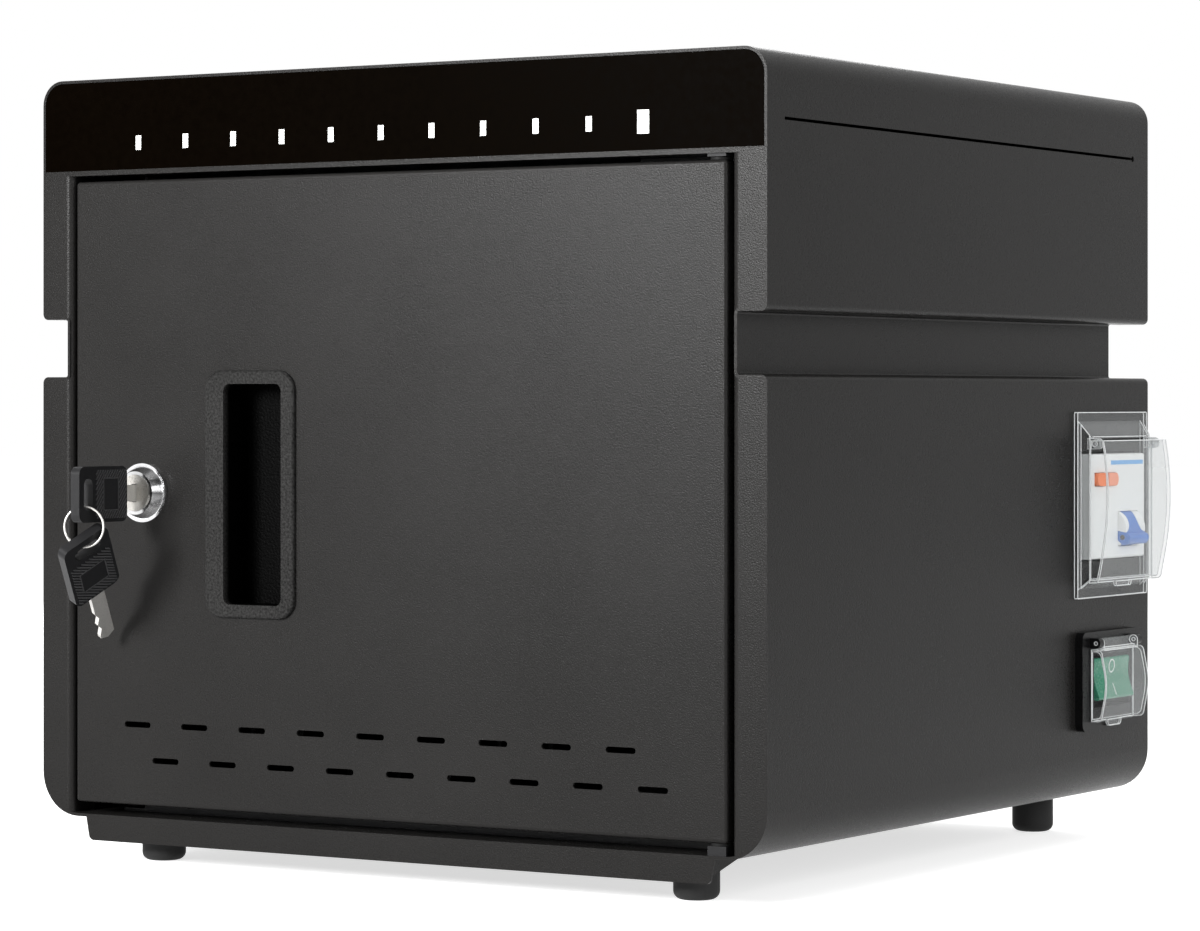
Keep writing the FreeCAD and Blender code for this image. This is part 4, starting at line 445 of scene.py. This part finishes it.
# White cheeks of the lever's drum.
# A second shot of the case's white plastic, moulded over both ends of the drum,
# which leaves a waisted blue web above and below the finger bar.
drum_radius, cheek_skin = 0.0086, 0.00008
first_angle, last_angle, cheek_steps = math.radians(18), math.radians(108), 24
cheek_least, cheek_swell, cheek_skew = 0.0003, 0.85, 0.6
near_cheek, far_cheek = 0.0032, 0.0066
cheek_outer, cheek_inner = drum_radius + cheek_skin, drum_radius - cheek_skin
lever_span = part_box("breaker_lever")[1].y - lever_pivot.y
cheek_arc = [first_angle + (last_angle - first_angle) * k / cheek_steps
             for k in range(cheek_steps + 1)]
cheeks = bmesh.new()
for lift in (1, -1):
    for deepest, from_far_end in ((near_cheek, False), (far_cheek, True)):
        cheek_rows = []
        for k, angle in enumerate(cheek_arc):
            swell = math.sin(math.pi * cheek_swell * (k / cheek_steps) ** cheek_skew)
            depth = cheek_least + deepest * swell
            near, far = (lever_span - depth, lever_span) if from_far_end else (0.0, depth)
            cheek_rows.append([
                cheeks.verts.new(lever_turn @ Vector((r * math.cos(angle), y,
                                                      lift * r * math.sin(angle))))
                for r, y in ((cheek_outer, near), (cheek_outer, far),
                             (cheek_inner, far), (cheek_inner, near))])
        cheeks.faces.new(cheek_rows[0][::-1])
        cheeks.faces.new(cheek_rows[-1])
        for row, following in zip(cheek_rows, cheek_rows[1:]):
            join(cheeks, row, following)
    end_plate = [(-drum_radius * math.cos(a), lift * drum_radius * math.sin(a)) for a in cheek_arc]
    bar(cheeks, [(0.0, 0.0)] + end_plate, -cheek_skin, cheek_skin, lever_turn @ quarter_turn)
keep("lever_cheeks", cheeks, breaker_white, "breaker_lever")

# Clear guard and flap of the breaker, and the clear cover of the switch.
# Moulded polycarbonate with a faint milky veil that grows at a slant; every sharp edge gathers
# the light, which is drawn as a fine pale bead just inside that edge.
veil_dark, veil_light = (0.50, 0.515, 0.52, 1), (0.64, 0.655, 0.66, 1)
through_tint, veil_specular = (0.945, 0.95, 0.95, 1), 0.6
clear_plastic = bpy.data.materials.new("clear_plastic")
clear_plastic.use_nodes = True
clear_tree = clear_plastic.node_tree
haze_place = add(clear_tree, "ShaderNodeTexCoord").outputs["Object"]
haze = add(clear_tree, "ShaderNodeTexNoise", {"Scale": 70.0, "Detail": 3.0},
           {"Vector": haze_place}).outputs["Fac"]
haze_tone = add(clear_tree, "ShaderNodeValToRGB", feeds={"Fac": haze})
haze_tone.color_ramp.elements[0].color = veil_dark
haze_tone.color_ramp.elements[1].color = veil_light
haze_gloss = add(clear_tree, "ShaderNodeMapRange", {"To Min": 0.06, "To Max": 0.22},
                 {"Value": haze})
veil = clear_tree.nodes["Principled BSDF"]
veil.inputs["Specular IOR Level"].default_value = veil_specular
clear_tree.links.new(haze_tone.outputs["Color"], veil.inputs["Base Color"])
clear_tree.links.new(haze_gloss.outputs["Result"], veil.inputs["Roughness"])
let_through = add(clear_tree, "ShaderNodeBsdfTransparent", {"Color": through_tint})
slant = add(clear_tree, "ShaderNodeLayerWeight", {"Blend": 0.3})
thickness = add(clear_tree, "ShaderNodeMapRange", {"To Min": 0.02, "To Max": 0.30},
                {"Value": slant.outputs["Facing"]})
light_way = add(clear_tree, "ShaderNodeLightPath")
body_share = add(clear_tree, "ShaderNodeMath",
                 feeds={0: thickness.outputs["Result"], 1: light_way.outputs["Is Shadow Ray"]},
                 operation="SUBTRACT", use_clamp=True)
split = add(clear_tree, "ShaderNodeMixShader",
            feeds={"Fac": body_share.outputs[0], 1: let_through.outputs["BSDF"],
                   2: veil.outputs["BSDF"]})
clear_tree.links.new(split.outputs["Shader"], clear_tree.nodes["Material Output"].inputs["Surface"])
bright_edge = grained("bright_edge", colour=(0.76, 0.77, 0.775), rough=0.25, spread=0.06,
                      grain_mm=0.8, height_mm=0.01)
dress(clear_plastic, "breaker_guard", "breaker_cover", "switch_cover")


def light_edges(name, node, body):
    """Fine beads along the sharp edges of a clear moulding, set in to lie inside both faces."""
    radius, sides, clearance, least_cosine = 0.00022, 6, 0.00002, 0.3
    sharp, same_place = math.radians(48), 0.00001
    source = bmesh.new()
    source.from_mesh(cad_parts[node].data)
    source.transform(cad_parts[node].matrix_world)
    bmesh.ops.remove_doubles(source, verts=source.verts, dist=same_place)
    source.normal_update()
    beads = bmesh.new()
    for edge in source.edges:
        if len(edge.link_faces) != 2 or edge.calc_face_angle() < sharp:
            continue
        inward = -(edge.link_faces[0].normal + edge.link_faces[1].normal)
        if inward.length == 0:
            continue
        inset = radius / max(least_cosine, math.cos(edge.calc_face_angle() / 2)) + clearance
        start, end = (vertex.co + inward.normalized() * inset for vertex in edge.verts)
        along = (end - start).normalized()
        turn = Matrix.Translation(start) @ along.to_track_quat("X", "Z").to_matrix().to_4x4()
        bar(beads, circle(radius, sides), 0.0, (end - start).length, turn)
    source.free()
    keep(name, beads, bright_edge, body)


light_edges("guard_edges", "breaker_guard", "cabinet")
light_edges("flap_edges", "breaker_cover", "breaker_cover")
light_edges("switch_cover_edges", "switch_cover", "switch_cover")

# Rocker switch.
# A black moulded housing clipped into the casing, with a green rocker
# that is printed in white: a ring on its upper half and a bar on its lower half.
switch_black = grained("switch_black", colour=(0.004, 0.004, 0.0042), rough=0.3, spread=0.15,
                       grain_mm=0.8, height_mm=0.02, specular=0.08)
rocker_green = grained("rocker_green", colour=(0.0, 0.21, 0.11), rough=0.25, spread=0.06,
                       grain_mm=0.9, height_mm=0.01)
mark_white = grained("mark_white", colour=(0.80, 0.82, 0.80), rough=0.45, spread=0.03,
                     grain_mm=0.6, height_mm=0.005)
dress(switch_black, "switch_housing")
dress(rocker_green, "switch_rocker")
rocker_pivot, rocker_rest = Vector((0.171, 0.1245, 0.06985)), math.radians(-8.0)
half_out, half_up, half_slope = 0.00575, 0.0050, math.radians(12.6)
mark_print, mark_steps = 0.00014, 40
tilt = Matrix.Translation(rocker_pivot) @ Matrix.Rotation(rocker_rest, 4, "Y")
upper_seat, lower_seat = (tilt @ Matrix.Translation((half_out, 0, half * half_up))
                          @ Matrix.Rotation(half * half_slope, 4, "Y") for half in (1, -1))
mark_inner, mark_outer = circle(0.0024, mark_steps), circle(0.0030, mark_steps)
marks = bmesh.new()
for i in range(mark_steps):
    j = (i + 1) % mark_steps
    bar(marks, [mark_inner[i], mark_outer[i], mark_outer[j], mark_inner[j]], 0, mark_print,
        upper_seat)
bar(marks, oblong(y0=-0.0003, y1=0.0003, z0=-0.0026, z1=0.0026), 0, mark_print, lower_seat)
keep("rocker_marks", marks, mark_white, "switch_rocker")

# Studio: a pale floor that keeps the shadow, soft lamps, and the camera at the photograph's place.
# The floor and the world show white to the eye and to gloss,
# and light the cabinet at a plain level.


def seen_directly(tree):
    """1 for what the camera, a reflection or clear plastic looks straight at, else 0."""
    ray = add(tree, "ShaderNodeLightPath")
    eye = add(tree, "ShaderNodeMath", operation="MAXIMUM",
              feeds={0: ray.outputs["Is Camera Ray"], 1: ray.outputs["Is Glossy Ray"]})
    eye_or_clear = add(tree, "ShaderNodeMath", operation="MAXIMUM",
                       feeds={0: eye.outputs[0], 1: ray.outputs["Is Transmission Ray"]})
    return eye_or_clear.outputs[0]


floor_reach, paper_grey, paper_glow = 9, (0.7, 0.7, 0.7, 1), 0.67
floor_mesh = bpy.data.meshes.new("studio_floor")
floor_mesh.from_pydata([(-floor_reach, -floor_reach, 0), (floor_reach, -floor_reach, 0),
                        (floor_reach, floor_reach, 0), (-floor_reach, floor_reach, 0)],
                       [], [(0, 1, 2, 3)])
floor = bpy.data.objects.new("studio_floor", floor_mesh)
bpy.context.scene.collection.objects.link(floor)
paper = bpy.data.materials.new("studio_paper")
paper.use_nodes = True
paper_tree = paper.node_tree
sheet = paper_tree.nodes["Principled BSDF"]
sheet.inputs["Base Color"].default_value = paper_grey
sheet.inputs["Roughness"].default_value = 1.0
sheet.inputs["Specular IOR Level"].default_value = 0.0
glow_level = add(paper_tree, "ShaderNodeMath", {1: paper_glow}, {0: seen_directly(paper_tree)},
                 operation="MULTIPLY")
glow = add(paper_tree, "ShaderNodeEmission", feeds={"Strength": glow_level.outputs[0]})
paper_sum = add(paper_tree, "ShaderNodeAddShader",
                feeds={0: sheet.outputs["BSDF"], 1: glow.outputs["Emission"]})
paper_tree.links.new(paper_sum.outputs["Shader"],
                     paper_tree.nodes["Material Output"].inputs["Surface"])
floor_mesh.materials.append(paper)

world = bpy.data.worlds.new("studio_world")
bpy.context.scene.world = world
world.use_nodes = True
sky_tree = world.node_tree
sky = sky_tree.nodes["Background"]
sky.inputs["Color"].default_value = (1, 1, 1, 1)
sky_level = add(sky_tree, "ShaderNodeMapRange", {"To Min": 0.5, "To Max": 1.0},
                {"Value": seen_directly(sky_tree)})
sky_tree.links.new(sky_level.outputs["Result"], sky.inputs["Strength"])

for name, spot, aim, size, power in (
    ("key_softbox", (-0.42, -1.5, 0.58), (0.1, -0.17, 0.25), 0.44, 54.0),
    ("top_softbox", (0.3, 0.2, 1.9), (0.0, 0.0, 0.3), 1.4, 14.0),
    ("right_softbox", (1.7, -0.5, 0.7), (0.18, 0.1, 0.12), 0.8, 16.0),
    ("rear_softbox", (-1.2, 1.4, 0.8), (-0.1, 0.1, 0.15), 1.4, 18.0),
):
    lamp = bpy.data.lights.new(name, "AREA")
    lamp.size = size
    lamp.energy = power
    softbox = bpy.data.objects.new(name, lamp)
    softbox.location = spot
    softbox.visible_camera = False
    softbox.rotation_euler = (Vector(aim) - Vector(spot)).to_track_quat("-Z", "Y").to_euler()
    bpy.context.scene.collection.objects.link(softbox)

lens = bpy.data.cameras.new("photo_camera")
lens.sensor_fit = "HORIZONTAL"
lens.sensor_width = 36.0
lens.lens = 123.1
lens.shift_y = -0.0555
lens.clip_start = 0.05
camera = bpy.data.objects.new("photo_camera", lens)
camera.location = (0.9232, -1.494, 0.1906)
camera.rotation_euler = (math.radians(90), 0, math.radians(31.886))
bpy.context.scene.collection.objects.link(camera)
bpy.context.scene.camera = camera
bpy.context.scene.view_settings.view_transform = "Standard"
